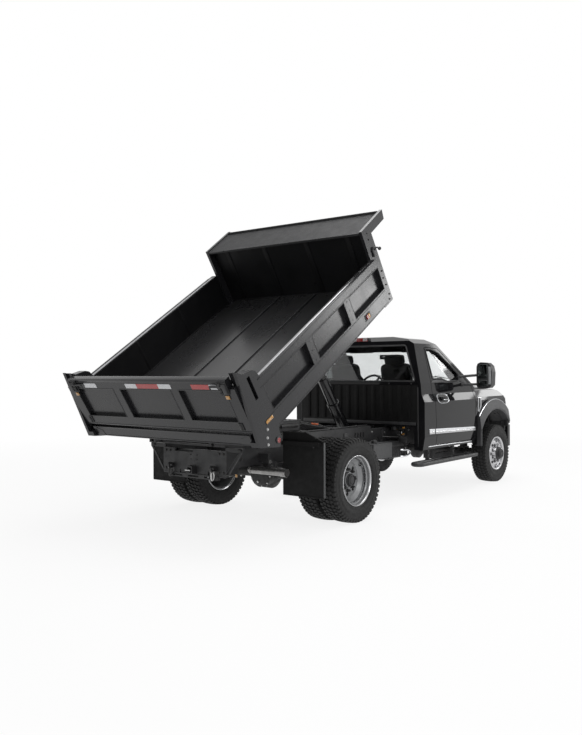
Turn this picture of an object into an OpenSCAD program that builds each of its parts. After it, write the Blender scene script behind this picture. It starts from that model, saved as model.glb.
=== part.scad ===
// Dump truck: two-door cab on a twin-wheel chassis with a steel tipping bed
// Frame: +X forward, +Y to the left, +Z up, ground at Z = 0

/* [Overall] */
// Distance between the axles
wheelbase = 3790; // [3000:10:5000]
// Outer diameter of the rear tyres
tyre_d = 885; // [700:5:1000]
// Outer diameter of the front tyres
front_tyre_d = 815; // [700:5:1000]
// Width of every tyre
tyre_w = 225; // [180:1:300]
// Diameter of the rear rims' flange
rim_d = 570; // [420:1:620]
// Diameter of the front rims' flange
front_rim_d = 516; // [420:1:620]
// Distance between the front tyre centres
front_track = 1900; // [1600:5:2100]
// Distance between the centres of the rear tyre pairs
rear_track = 1930; // [1600:5:2100]
// Distance between the two tyres of a pair
twin_pitch = 265; // [235:1:330]

/* [Chassis] */
// Half distance over the frame rails
rail_y = 430; // [350:5:500]
// Height of the rails' upper face
rail_top = 860; // [750:5:1000]
// Depth of a rail
rail_h = 240; // [150:5:300]
// Flange width of a rail
rail_flange = 75; // [50:1:110]
// Steel thickness of a rail
rail_t = 10; // [6:1:16]
// Rear end of the rails, from the rear axle
rail_back = -1180; // [-1500:10:-800]
// Front end of the rails at the drawn wheelbase
rail_front = 4200; // [3800:10:4400]
// Diameter of the axle tubes
axle_tube_d = 130; // [90:1:180]
// Radius of the differential
diff_r = 175; // [120:1:220]
// Diameter of the wheel spindles
spindle_d = 80; // [50:1:110]
// Radial running clearance of shafts and pins
fit = 0.06; // [0.02:0.01:0.1]
// Diameter of the exhaust pipe
pipe_d = 76; // [50:1:100]
// Diameter of the muffler
muffler_d = 176; // [120:1:200]
// Exhaust, distance from the middle
pipe_y = 260; // [200:5:290]
// Exhaust, height
pipe_z = 578; // [540:1:580]
// Thickness of the hitch plate
hitch_t = 22; // [10:1:40]
// Hitch bolts, distance across
hitch_dy = 86; // [60:1:150]
// Hitch bolts, distance in height
hitch_dz = 45; // [30:1:120]
// Diameter of a hitch bolt's hole
hitch_hole_d = 14; // [8:0.5:24]
// Height of the hitch bolts' middle
hitch_z = 720; // [640:5:760]
// Diameter of a shackle eye's bore
shackle_d = 28; // [16:1:40]
// Kingpin, distance inside the tyre's middle
kingpin_inset = 150; // [120:5:200]
// Diameter of a kingpin
kingpin_d = 40; // [25:1:60]

/* [Cab] */
// Half width of the cab at the door
cab_y = 1000; // [850:5:1150]
// Wall thickness of the cab and the doors
cab_wall = 55; // [35:1:90]
// Gap round the doors
door_gap = 8; // [4:0.5:12]
// Thickness of the glass
glass_t = 8; // [5:1:15]
// Height of the cab floor's lower face
cab_floor_z = 885; // [870:1:950]
// Half width of the hood
hood_y = 735; // [600:5:850]
// Thickness of hood and fender panels
panel_t = 40; // [20:1:70]
// Front face of the grille at the drawn wheelbase
nose_x = 4290; // [4200:5:4400]
// Front face of the bumper at the drawn wheelbase
bumper_x = 4480; // [4350:5:4600]
// Radius of the front wheel arch
arch_r = 560; // [500:5:650]
// Width of the flare round the arch
flare_w = 150; // [100:5:170]
// Outer step tube, distance from the middle
step_y = 1050; // [950:5:1150]
// Step tube, height
step_z = 445; // [350:5:550]
// Step tube, diameter
step_d = 54; // [40:1:90]
// Distance between the two step tubes
step_pitch = 120; // [90:5:180]

/* [Bed] */
// Angle of the bed as it stands
bed_angle = 33; // [20:1:45]
// Bed datum, distance behind the rear axle
bed_back = 1350; // [1100:10:1600]
// Bed datum, height
bed_z = 1175; // [1000:5:1400]
// Half width over the sides
bed_y = 1215; // [1000:5:1300]
// Thickness of a side wall with its rails
side_t = 75; // [50:1:120]
// Depth of the side wall's recessed fields
side_recess = 48; // [20:1:60]
// Length from the datum to the front posts
bed_len = 2280; // [1800:10:3000]
// Width of a front post
front_post = 190; // [80:1:240]
// Upper edge of the side's top rail
side_top = 435; // [300:5:700]
// Depth of the top rail
top_rail = 95; // [60:1:140]
// Lower edge of the bottom rail
side_low = -90; // [-140:1:-60]
// Depth of the bottom rail
low_rail = 175; // [100:1:220]
// Width of a side post
side_post = 112; // [60:1:160]
// Upper face of the load floor
floor_n = 30; // [15:1:60]
// Thickness of the load floor
floor_t = 25; // [10:1:40]
// Upper end of the front posts
front_top = 690; // [500:5:900]
// Overhang of the cab shield beyond the front posts
shield_len = 305; // [200:5:600]
// Thickness of the front posts' plates
shield_t = 35; // [15:1:50]
// Front posts, distance inside the bed's sides
post_inset = 65; // [40:1:66]
// Rear face of the tailgate, behind the datum
gate_u = 300; // [250:5:360]
// Thickness of the tailgate
gate_t = 62; // [40:1:90]
// Upper edge of the tailgate
gate_top = 600; // [450:5:800]
// Half width of the tailgate
gate_y = 1104; // [900:5:1200]
// Depth of the long sills under the floor
sill_h = 150; // [100:5:220]
// Diameter of the bed's hinge shaft
bed_pin_d = 50; // [35:1:80]

/* [Hoist] */
// Lower pin, distance behind the cab
hoist_gap = 239; // [200:5:400]
// Trunnion of the barrel, height
hoist_z = 756; // [680:1:820]
// Upper pin, behind the front posts
hoist_back = 160; // [120:10:400]
// Upper pin, below the load floor's datum
hoist_n = -150; // [-200:1:-120]
// Radius of the barrel
barrel_r = 75; // [55:1:95]
// Wall of the barrel and of each stage
stage_wall = 11; // [8:1:16]
// Radial gap between the stages
stage_gap = 0.3; // [0.2:0.1:1]
// Length of the closed cylinder, trunnion to eye
hoist_closed = 620; // [560:5:700]

/* [Hidden] */
$fn = 48;
axle_z = tyre_d / 2;
front_axle_z = front_tyre_d / 2;
front_x = wheelbase - 3790;
nose_axle = wheelbase - front_x;
rail_end = rail_front + front_x;
step_back = 1640 - min(front_x, 0);
bed_x = -bed_back;
cos_b = cos(bed_angle);
sin_b = sin(bed_angle);
rear_end = bed_x - gate_u * cos_b - gate_top * sin_b;
origin_x = (bumper_x + front_x + rear_end) / 2;
rail_low = rail_top - rail_h;
rail_in = rail_y - rail_flange;
side_in = bed_y - side_t;
bed_front = bed_len + front_post;
post_y = bed_y - post_inset;
post_in = post_y - shield_t;
wall_u = bed_len + 100;
gate_wide = bed_y - 43;
skirt_y = cab_y - 8;
cab_back = 1795;
hoist_u = bed_len - hoist_back;
hoist_x = cab_back + front_x - hoist_gap;
cross_u = (bed_len - 930) / 3;
hinge_u = -105;
hinge_n = -200;
hinge_x = bed_x + hinge_u * cos_b - hinge_n * sin_b;
hinge_z = bed_z + hinge_u * sin_b + hinge_n * cos_b;
pin_x = bed_x + hoist_u * cos_b - hoist_n * sin_b;
pin_z = bed_z + hoist_u * sin_b + hoist_n * cos_b;
hoist_len = norm([pin_x - hoist_x, pin_z - hoist_z]);
hoist_angle = atan2(pin_z - hoist_z, pin_x - hoist_x);
stage_out = (hoist_len - hoist_closed) / 3;
front_y = front_track / 2;
kingpin_y = front_y - kingpin_inset;
knuckle_y = kingpin_y - 110;
arch_z = front_axle_z + 65;
arch_back = nose_axle - 475;
leg_top = arch_z + sqrt(arch_r * arch_r - 475 * 475);
engine_z = front_axle_z + 175;
rear_y = rear_track / 2;
gate_hinge_u = -205;
gate_hinge_n = 540;
lug_y = 430;
lug_t = 30;
cowl_x = 3275;
door_front = 3215;
door_pin_x = door_front + 18;
door_pin_y = cab_y - 10;
door_pin_d = 14;
roof_split = 1912;
hood_back = cowl_x + 65;
hood_pin_x = hood_back - 8;
hood_pin_z = 1268;
hood_pin_y = 580;
hood_pin_d = 24;
gate_pin_d = 30;

paint = [0.05, 0.05, 0.06];
steel = [0.12, 0.12, 0.13];
bright = [0.75, 0.76, 0.78];
rubber = [0.06, 0.06, 0.06];
clear = [0.35, 0.4, 0.42];
red = [0.6, 0.05, 0.05];
grey = [0.45, 0.46, 0.47];

// Places and extrusions
module shift() translate([-origin_x, 0, 0]) children();
module pair() {
  children();
  mirror([0, 1, 0]) children();
}
module nose() shift() translate([front_x, 0, 0]) children();
module flip(s) {
  if (s > 0) children();
  else mirror([0, 1, 0]) children();
}
module bed_place() shift() translate([bed_x, 0, bed_z]) rotate([0, -bed_angle, 0]) children();
module box(x0, x1, y0, y1, z0, z1) translate([x0, y0, z0]) cube([x1 - x0, y1 - y0, z1 - z0]);
module xz(p, y0, y1) translate([0, y1, 0]) rotate([90, 0, 0]) linear_extrude(y1 - y0) polygon(p);
module yz(p, x0, x1) translate([x0, 0, 0]) rotate([90, 0, 90]) linear_extrude(x1 - x0) polygon(p);
module ycyl(x, z, d, y0, y1) translate([x, y1, z]) rotate([90, 0, 0]) cylinder(d = d, h = y1 - y0);
module xcyl(y, z, d, x0, x1) translate([x0, y, z]) rotate([0, 90, 0]) cylinder(d = d, h = x1 - x0);
module zcyl(x, y, d, z0, z1) translate([x, y, z0]) cylinder(d = d, h = z1 - z0);
module spun(x, y, z) translate([x, y, z]) rotate([-90, 0, 0]) rotate_extrude() children();
module rod(a, b, d) {
  v = b - a;
  l = norm(v);
  translate(a) rotate([0, acos(v[2] / l), atan2(v[1], v[0])]) cylinder(d = d, h = l);
}

// Chassis
module chassis_frame() color(steel) shift() {
  pair() difference() {
    box(rail_back, rail_end, rail_in, rail_y, rail_low, rail_top);
    box(rail_back - 1, rail_end + 1, rail_in - 1, rail_y - rail_t, rail_low + rail_t, rail_top - rail_t);
    for (x = [1090, 1150, 1210, 1270]) box(x, x + 28, rail_in, rail_y + 1, rail_top - 85, rail_top - 25);
    box(1530, 1620, rail_in, rail_y + 1, rail_low + 50, rail_low + 130);
  }
  for (x = [rail_back + 20, -560, 560, 1180, 2250 + front_x, rail_end - 100])
    box(x, x + 70, rail_t - rail_y, rail_y - rail_t, rail_low + 45, rail_low + 165);
}

module hoist_frame() color(steel) shift() {
  pair() {
    box(hinge_x + 40, hoist_x - 100, rail_in + 10, rail_y, rail_top, rail_top + 40);
    for (y = [lug_y - lug_t / 2 - 32, lug_y + lug_t / 2 + 4]) {
      ycyl(hinge_x, hinge_z, bed_pin_d + 50, y, y + 28);
      box(hinge_x - 10, hinge_x + 190, y, y + 28, rail_top, rail_top + 40);
      box(hinge_x - 45, hinge_x + 45, y, y + 28, rail_top, hinge_z);
    }
    box(hinge_x + 70, hinge_x + 190, lug_y - 47, lug_y + 47, rail_top, rail_top + 40);
    difference() {
      box(hoist_x - 60, hoist_x + 60, barrel_r + 20, barrel_r + 60, rail_low + 30, hoist_z + 60);
      ycyl(hoist_x, hoist_z, 50 + 2 * fit, barrel_r, barrel_r + 80);
    }
    box(hoist_x - 60, hoist_x + 60, barrel_r + 20, rail_y - rail_t, rail_low + 30, rail_low + 70);
  }
  ycyl(hinge_x, hinge_z, bed_pin_d, -lug_y - 60, lug_y + 60);
}

module rear_axle() color(steel) shift() {
  ycyl(0, axle_z, axle_tube_d, -620, 620);
  spun(0, -110, axle_z) polygon([[0, 0], [110, 0], [diff_r, 60], [diff_r, 160], [110, 220], [0, 220]]);
  xcyl(0, axle_z, 150, 100, 250);
  xcyl(0, axle_z, 2 * diff_r - 60, -150, 0);
  pair() {
    ycyl(0, axle_z, 210, 600, 640);
    ycyl(0, axle_z, 2 * 60, 640, 660);
    ycyl(0, axle_z, spindle_d, 660, rear_y + 20);
    box(-70, 70, 480, 560, axle_z + 40, axle_z + 92);
  }
}

module front_axle() color(steel) shift() {
  ycyl(wheelbase, front_axle_z, axle_tube_d - 20, -knuckle_y, knuckle_y);
  spun(wheelbase, 150, front_axle_z)
    polygon([[0, 0], [90, 0], [diff_r - 30, 50], [diff_r - 30, 130], [90, 180], [0, 180]]);
  pair() translate([wheelbase, 0, front_axle_z]) {
    for (z = [-105, 75]) box(-45, 45, knuckle_y - 10, kingpin_y + 40, z, z + 30);
    box(-45, 45, knuckle_y - 10, knuckle_y + 30, -105, 105);
    zcyl(0, kingpin_y, kingpin_d, -110, 110);
    box(-80, 60, 480, 590, 40, 75);
  }
}

// Leaf packs behind, coils in front
module springs() color(steel) shift() {
  pair() {
    intersection() {
      difference() {
        ycyl(0, axle_z + 92 + 2400, 4800, 485, 555);
        ycyl(0, axle_z + 92 + 2400, 4800 - 2 * 48, 480, 560);
      }
      box(-690, 690, 480, 560, axle_z + 92, axle_z + 260);
    }
    for (x = [-690, 640]) {
      box(x, x + 50, 485, 555, axle_z + 150, rail_low + 120);
      box(x, x + 50, rail_y, 555, rail_low + 40, rail_low + 120);
    }
    zcyl(wheelbase, 535, 110, front_axle_z + 75, rail_low + 100);
    box(wheelbase - 80, wheelbase + 80, rail_y, 600, rail_low + 100, rail_low + 160);
    box(wheelbase - 990, wheelbase - 60, 505, 565, front_axle_z - 20, front_axle_z + 40);
    box(wheelbase - 1010, wheelbase - 930, rail_y, 565, front_axle_z - 20, rail_low + 100);
  }
}

module engine_block() color(steel) nose() {
  box(3340, 4040, -290, 290, engine_z, engine_z + 540);
  box(3410, 3500, -rail_y + rail_t, rail_y - rail_t, rail_low + 60, rail_low + 150);
}

module driveline() color(grey) shift() {
  translate([front_x, 0, 0]) {
    box(2500, 3340, -190, 190, 590, 860);
    xcyl(0, 562, 150, 2420, 2500);
    box(2440, 2540, -rail_y + rail_t, rail_y - rail_t, rail_low + 60, rail_low + 120);
  }
  rod([300, 0, axle_z], [2460 + front_x, 0, 560], 90);
  xcyl(0, axle_z, 120, 250, 320);
}

module tanks() color(grey) shift() {
  for (s = [-1, 1]) flip(s) {
    box(1000, 1410, 460, 760, 540, s < 0 ? 715 : 800);
    for (x = [1060, 1300]) box(x, x + 50, rail_y, 460, 640, 700);
  }
}

module pump_box() color(steel) shift() {
  box(-250, 250, -240, 240, rail_top + 58, rail_top + 170);
  for (x = [-220, 160]) box(x, x + 60, -400, 400, rail_top + 40, rail_top + 58);
}

module exhaust() color(bright) shift() {
  xcyl(-pipe_y, pipe_z, pipe_d, -300, 3100 + front_x);
  xcyl(-pipe_y, pipe_z, muffler_d, 1700, 2200);
  bend = [-300, -pipe_y, pipe_z];
  turn = [-770, -pipe_y - 140, pipe_z];
  rod(bend, turn, pipe_d);
  ycyl(turn[0], turn[2], pipe_d, turn[1] - 430, turn[1]);
  for (p = [bend, turn]) translate(p) sphere(d = pipe_d + 6);
  for (x = [585, 1205]) box(x, x + 24, -pipe_y - 15, -pipe_y + 15, pipe_z + 20, rail_low + 45);
}

module mud_flaps() color(rubber) shift() {
  pair() {
    yz([[712, 332], [1228, 332], [1228, 890], [1000, 978], [712, 978]], -640, -622);
    box(-680, -600, rail_y, 1190, 845, 885);
  }
}

module hitch_plate() color(steel) shift() {
  difference() {
    union() {
      box(rail_back - hitch_t, rail_back, -450, 450, 540, 800);
      box(rail_back - hitch_t - 14, rail_back, -345, 345, 506, 548);
    }
    box(rail_back - hitch_t - 1, rail_back + 1, 15, 280, 768, 801);
    for (y = [-230, 0, 230]) box(rail_back - 60, rail_back + 1, y - 75, y + 75, 518, 534);
    for (y = [-hitch_dy / 2, hitch_dy / 2], z = [-hitch_dz / 2, hitch_dz / 2])
      xcyl(y, hitch_z + z, hitch_hole_d, rail_back - 60, rail_back + 10);
  }
  box(rail_back - 16, rail_back, -rail_y, rail_y, 836, 858);
  difference() {
    box(rail_back - hitch_t - 70, rail_back - hitch_t, -38, 38, 556, 632);
    box(rail_back - hitch_t - 80, rail_back - hitch_t - 6, -26, 26, 568, 620);
  }
  pair() {
    difference() {
      union() {
        ycyl(rail_back - hitch_t - 45, 620, shackle_d + 40, 288, 312);
        box(rail_back - hitch_t - 45, rail_back - hitch_t, 288, 312, 596, 644);
      }
      ycyl(rail_back - hitch_t - 45, 620, shackle_d, 280, 320);
    }
    box(rail_back, rail_back + 260, rail_in - 20, rail_in - 2, 540, rail_low);
    box(rail_back, rail_back + 260, rail_in - 20, rail_in + 20, rail_low - 20, rail_low);
    yz([[436, 560], [468, 560], [648, 800], [612, 800]], rail_back - 14, rail_back - 2);
    box(rail_back - 14, rail_back + 30, rail_y, 650, 796, 836);
  }
}

// Cab. Each row of a profile is x or y, z, and the way its corner moves inward
CAB_SIDE = [
  [cab_back, 600, 1, 0], [cowl_x, 600, -1, 0], [cowl_x, 1352, -1, -0.45], [2470, 1900, -0.55, -1],
  [2270, 2022, 0, -1], [1990, 2025, 0, -1], [1862, 1965, 1, -0.9], [cab_back - 5, 1440, 1, 0]
];
CAB_SECTION = [
  [970, 600, -1, 0], [cab_y, 760, -1, 0], [cab_y, 1195, -1, 0], [cab_y - 42, 1290, -1, 0],
  [cab_y - 55, 1430, -1, 0], [815, 1930, -1, -0.6], [700, 1990, -0.4, -1], [400, 2030, 0, -1]
];
DOOR = [
  [2112, 640], [3140, 640], [3200, 690], [door_front, 760], [door_front, 1325], [3182, 1372], [2490, 1844],
  [2420, 1874], [2130, 1890], [2072, 1872], [2050, 1440]
];
DOOR_WINDOW = [
  [2125, 1484], [2108, 1860], [2270, 1860], [2430, 1812], [2640, 1682], [2850, 1538], [2826, 1452],
  [2500, 1446], [2330, 1486]
];
function inset(p, t) = [for (r = p) [r[0] + t * r[2], r[1] + t * r[3]]];
function mirrored(p) = concat(p, [for (i = [len(p) - 1 : -1 : 0]) [-p[i][0], p[i][1]]]);
function front_glass() = [[905, 1392], [695, 1866], [-695, 1866], [-905, 1392]];
function back_glass() = [[858, 1452], [700, 1905], [-700, 1905], [-858, 1452]];
module cab_solid(t) intersection() {
  xz(inset(CAB_SIDE, t), -1200, 1200);
  yz(mirrored(inset(CAB_SECTION, t)), 1600, 3400);
}
module cab_skin(t0, t1) difference() {
  cab_solid(t0);
  cab_solid(t1);
}
module at_door_hinges() for (z = [820, 1120]) translate([door_pin_x, door_pin_y, z]) children();

module cab_shell() color(paint) nose() {
  difference() {
    cab_skin(0, cab_wall);
    pair() xz(DOOR, 700, 1200);
    yz(front_glass(), 2450, 3400);
    yz(back_glass(), 1600, 2050);
    box(1600, 3400, -1100, 1100, roof_split, 2100);
    box(1600, 3400, -850, 850, 500, cab_floor_z);
    box(1960, 3400, -940, 940, 500, cab_floor_z);
    pair() at_door_hinges() box(door_front - door_pin_x - 1, 18, -18, 40, -40, 40);
  }
  pair() at_door_hinges() zcyl(0, 0, door_pin_d, -42, 42);
  box(cowl_x, cowl_x + 28, -hood_y, hood_y, 1190, 1262);
  pair() for (y = [hood_pin_y - 42, hood_pin_y + 24])
    box(cowl_x, hood_pin_x + 18, y, y + 18, hood_pin_z - 34, hood_pin_z + 14);
  pair() ycyl(hood_pin_x, hood_pin_z, hood_pin_d, hood_pin_y - 42, hood_pin_y + 42);
  for (i = [-5 : 5]) box(cab_back - 14, cab_back + 5, 130 * i - 24, 130 * i + 24, 975, 1395);
  box(cab_back - 18, cab_back + 5, -900, 900, 1412, 1438);
  box(cab_back + cab_wall, cowl_x - cab_wall, -cab_y + cab_wall, cab_y - cab_wall, cab_floor_z, cab_floor_z + 40);
}

module cab_roof() color(paint) nose() intersection() {
  cab_skin(0, cab_wall);
  box(1600, 3400, -1100, 1100, roof_split, 2100);
}

module windshield() color(clear) nose() intersection() {
  cab_skin(20, 20 + glass_t);
  yz(front_glass(), 2450, 3400);
}

module rear_window() color(clear) nose() intersection() {
  cab_skin(20, 20 + glass_t);
  yz(back_glass(), 1600, 2050);
}

module roof_lamp() color(red) nose() difference() {
  box(1866, 1932, -120, 120, 1970, 2014);
  cab_solid(0);
}

module seats() color(steel) nose() {
  for (y = [-400, 400]) {
    box(2150, 2590, y - 250, y + 250, cab_floor_z + 40, cab_floor_z + 330);
    translate([2150, y - 250, cab_floor_z + 330]) rotate([0, -14, 0]) cube([120, 500, 480]);
  }
}

module dash_solid() xz([
  [2880, 1180], [2840, 1310], [2910, 1362], [cowl_x - cab_wall, 1300], [cowl_x - cab_wall, 1000], [3080, 1000]
], -875, 875);
module dashboard() color(steel) nose() dash_solid();

module steering_wheel() color(rubber) nose() difference() {
  translate([2760, 400, 1350]) rotate([0, -62, 0]) {
    rotate_extrude() translate([190, 0]) circle(r = 16, $fn = 24);
    translate([0, 0, -30]) cylinder(d = 90, h = 40);
    for (a = [90, 210, 330]) rotate(a) translate([30, -14, -14]) cube([150, 28, 16]);
    translate([0, 0, -190]) cylinder(d = 50, h = 170);
  }
  dash_solid();
}

module step_tubes() color(paint) nose() pair() {
  for (y = [step_y, step_y - step_pitch]) xcyl(y, step_z, step_d, step_back, 3120);
  translate([step_back, step_y - step_pitch / 2, step_z]) rotate(90)
    rotate_extrude(angle = 180) translate([step_pitch / 2, 0]) circle(d = step_d);
  box(step_back + 480, 3060, step_y - step_pitch, step_y, step_z - 10, step_z + 16);
  for (x = [step_back + 430, 2750]) {
    box(x - 22, x + 22, rail_y, step_y - 150, rail_low - 20, rail_low + 25);
    box(x - 22, x + 22, step_y - 190, step_y - 10, step_z - 12, step_z + 12);
    box(x - 22, x + 22, step_y - 190, step_y - 150, step_z - 12, rail_low + 25);
  }
}

FENDER = [
  [cowl_x, 560], [cowl_x, 1316], [3990, 1316], [4120, 1290], [4200, 1232], [4237, 1110], [4237, 640]
];
FENDER_SECTION = [
  [hood_y, 500, 0, 0], [skirt_y, 500, -1, 0], [skirt_y, 1172, -1, 0], [skirt_y - 22, 1215, -1, -0.5],
  [skirt_y - 92, 1306, -0.7, -1], [skirt_y - 120, 1316, -0.4, -1], [hood_y, 1320, 0, -1]
];
function half(p) = [for (r = p) [r[0], r[1]]];
module arch_hole(d) intersection() {
  ycyl(nose_axle, arch_z, 2 * (arch_r + d), 600, 1200);
  box(arch_back - 2 * d, nose_x, 500, 1300, 0, 1400);
}
module fenders() color(paint) nose() pair() {
  difference() {
    intersection() {
      xz(FENDER, hood_y + 8, skirt_y);
      yz(half(FENDER_SECTION), cowl_x, nose_x);
    }
    intersection() {
      xz([for (p = FENDER) [p[0] > 3800 ? p[0] - panel_t : p[0] - 4, p[1]]], hood_y, skirt_y);
      yz(half(inset(FENDER_SECTION, panel_t)), cowl_x - 10, nose_x);
    }
    arch_hole(15);
    box(arch_back - 15, arch_back + 20, skirt_y - panel_t - 1, skirt_y + 1, 500, leg_top + 27);
    lamp_solid();
  }
  box(cowl_x, 4140, hood_y + 8, hood_y + 24, 830, 1290);
}

// Each flare lies on its fender and reaches into the arch
module flares() color(rubber) nose() pair() {
  intersection() {
    spun(nose_axle, 0, arch_z) polygon([
      [arch_r, skirt_y - 40], [arch_r, skirt_y + 60], [arch_r + 24, skirt_y + 68],
      [arch_r + flare_w - 12, skirt_y + 44], [arch_r + flare_w, skirt_y + 28], [arch_r + flare_w, skirt_y],
      [arch_r + 14, skirt_y], [arch_r + 14, skirt_y - 40]
    ]);
    box(cowl_x, 4237, skirt_y - 60, skirt_y + 90, leg_top - 15, 1400);
  }
  translate([0, 0, 546]) linear_extrude(leg_top - 520) polygon([
    [cowl_x, skirt_y], [cowl_x, skirt_y + 54], [arch_back - 24, skirt_y + 68], [arch_back, skirt_y + 60],
    [arch_back, skirt_y - 40], [arch_back - 14, skirt_y - 40], [arch_back - 14, skirt_y]
  ]);
}

module grille() color(steel) nose() {
  difference() {
    box(4235, nose_x, -590, 590, 800, 1210);
    for (i = [0 : 3]) box(4225, nose_x + 10, -550, 550, 840 + 90 * i, 900 + 90 * i);
  }
  for (y = [-380, -130, 130, 380]) box(4238, nose_x - 8, y - 12, y + 12, 830, 1190);
  box(rail_front, 4236, -600, 600, 760, 1180);
}

module lamp_solid() box(4150, nose_x - 10, 600, 925, 940, 1180);
module headlamps() color(clear) nose() pair() lamp_solid();

function bumper_plan(t) = [
  for (p = [[4300, 1000], [bumper_x - 115, 1000], [bumper_x - 40, 720], [bumper_x, 400], [bumper_x, -400],
    [bumper_x - 40, -720], [bumper_x - 115, -1000], [4300, -1000]])
    [p[0] - (p[0] > 4300 ? t : 10), p[1] * (1 - t / 1000)]
];
module front_bumper() color(bright) nose() {
  difference() {
    translate([0, 0, 470]) linear_extrude(310) polygon(bumper_plan(0));
    translate([0, 0, 460]) linear_extrude(260) polygon(bumper_plan(60));
  }
  pair() box(rail_front, bumper_x - 55, rail_in, rail_y, rail_low, 720);
}

// Hood, hinged at the cowl
module hood() color(paint) nose() {
  intersection() {
    xz([
      [hood_back, 1345], [3700, 1372], [4190, 1312], [nose_x, 1244], [nose_x - 60, 1216], [4170, 1262],
      [3700, 1322], [hood_back, 1302]
    ], -hood_y, hood_y);
    yz([
      [-hood_y, 1100], [hood_y, 1100], [hood_y, 1328], [hood_y - 120, 1380], [120 - hood_y, 1380], [-hood_y, 1328]
    ], hood_back - 10, nose_x + 10);
  }
  pair() difference() {
    union() {
      ycyl(hood_pin_x, hood_pin_z, hood_pin_d + 20, hood_pin_y - 20, hood_pin_y + 20);
      box(hood_pin_x - 6, hood_pin_x + 22, hood_pin_y - 20, hood_pin_y + 20, hood_pin_z, 1310);
    }
    ycyl(hood_pin_x, hood_pin_z, hood_pin_d + 2 * fit, hood_pin_y - 30, hood_pin_y + 30);
  }
}

// Doors
module door(s) color(paint) nose() flip(s) {
  difference() {
    intersection() {
      cab_skin(0, cab_wall);
      xz([
        for (p = DOOR) [p[0] + (p[0] > 2450 ? -door_gap : door_gap), p[1] + (p[1] > 1300 ? -door_gap : door_gap)]
      ], 700, 1200);
    }
    xz(DOOR_WINDOW, 700, 1200);
  }
  box(2205, 2345, cab_y - 40, cab_y + 30, 1208, 1250);
  at_door_hinges() difference() {
    union() {
      zcyl(0, 0, door_pin_d + 10, -34, 34);
      box(door_front - door_pin_x - door_gap - 12, 0, -10, 8, -34, 34);
    }
    zcyl(0, 0, door_pin_d + 2 * fit, -40, 40);
  }
}

module door_glass(s) color(clear) nose() flip(s) intersection() {
  cab_skin(24, 24 + glass_t);
  xz(DOOR_WINDOW, 700, 1200);
}

MIRROR = [
  [1150, 1385], [1164, 1354], [1200, 1345], [1325, 1352], [1358, 1388], [1366, 1560], [1348, 1645], [1305, 1684],
  [1205, 1690], [1166, 1672], [1150, 1632]
];
module mirror_arm(s) color(rubber) nose() flip(s) {
  yz(MIRROR, 2945, 3045);
  difference() {
    union() {
      rod([2875, 900, 1500], [2975, 1180, 1525], 34);
      rod([2890, 930, 1395], [2975, 1180, 1400], 34);
    }
    cab_solid(0);
  }
}

// Wheels
module knuckle(s) color(steel) shift() flip(s) {
  difference() {
    union() {
      zcyl(wheelbase, kingpin_y, 100, front_axle_z - 74, front_axle_z + 74);
      ycyl(wheelbase, front_axle_z, 110, kingpin_y, kingpin_y + 60);
      ycyl(wheelbase, front_axle_z, spindle_d, kingpin_y, front_y + 60);
    }
    zcyl(wheelbase, kingpin_y, kingpin_d + 2 * fit, front_axle_z - 120, front_axle_z + 120);
  }
}

module tyre(x, y, r, bead) spun(x, y - tyre_w / 2, r) polygon([
  [bead, 18], [bead + 50, 4], [bead + 100, 0], [r - 26, 10], [r - 4, 28], [r, 60], [r, tyre_w - 60],
  [r - 4, tyre_w - 28], [r - 26, tyre_w - 10], [bead + 100, tyre_w], [bead + 50, tyre_w - 4], [bead, tyre_w - 18]
]);
bead_r = rim_d / 2 - 20;
front_bead_r = front_rim_d / 2 - 20;
bore_r = spindle_d / 2 + fit;
half_twin = twin_pitch / 2 + 94.5;

module rim_front(s) color(bright) shift() flip(s) difference() {
  spun(wheelbase, front_y, front_axle_z) polygon([
    [bore_r, -60], [90, -60], [90, 40], [150, 60], [front_bead_r - 20, 20], [front_bead_r - 20, -90],
    [front_bead_r, -94.5], [front_bead_r, 94.5], [front_bead_r - 14, 100], [front_bead_r - 26, 90],
    [front_bead_r - 32, 52], [160, 92], [100, 86], [88, 130], [50, 140], [bore_r, 140]
  ]);
  for (a = [0 : 45 : 315])
    translate([wheelbase, front_y, front_axle_z]) rotate([0, a, 0]) ycyl(170, 0, 44, 0, 160);
}

// One barrel carries both rear tyres; the disc lies deep in its outer end
module rims_rear(s) color(grey) shift() flip(s) difference() {
  spun(0, rear_y, axle_z) polygon([
    [bore_r, -60], [75, -60], [75, 84], [198, 84], [bead_r - 22, 70], [bead_r - 22, 4.5 - half_twin],
    [bead_r, -half_twin], [bead_r, half_twin], [bead_r - 6, half_twin + 5], [bead_r - 14, half_twin - 6],
    [bead_r - 18, 190], [bead_r - 26, 180], [bead_r - 30, 138], [bead_r - 42, 126], [206, 108], [198, 100],
    [82, 100], [78, 132], [52, 140], [bore_r, 140]
  ]);
  for (a = [0 : 45 : 315])
    translate([0, rear_y, axle_z]) rotate([0, a, 0]) ycyl(152, 0, 46, 60, 120);
}

module tyre_front(s) color(rubber) shift() flip(s) tyre(wheelbase, front_y, front_axle_z, front_bead_r);
module tyres_rear(s) color(rubber) shift() flip(s) {
  for (y = [-twin_pitch / 2, twin_pitch / 2]) tyre(0, rear_y + y, axle_z, bead_r);
}

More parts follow.
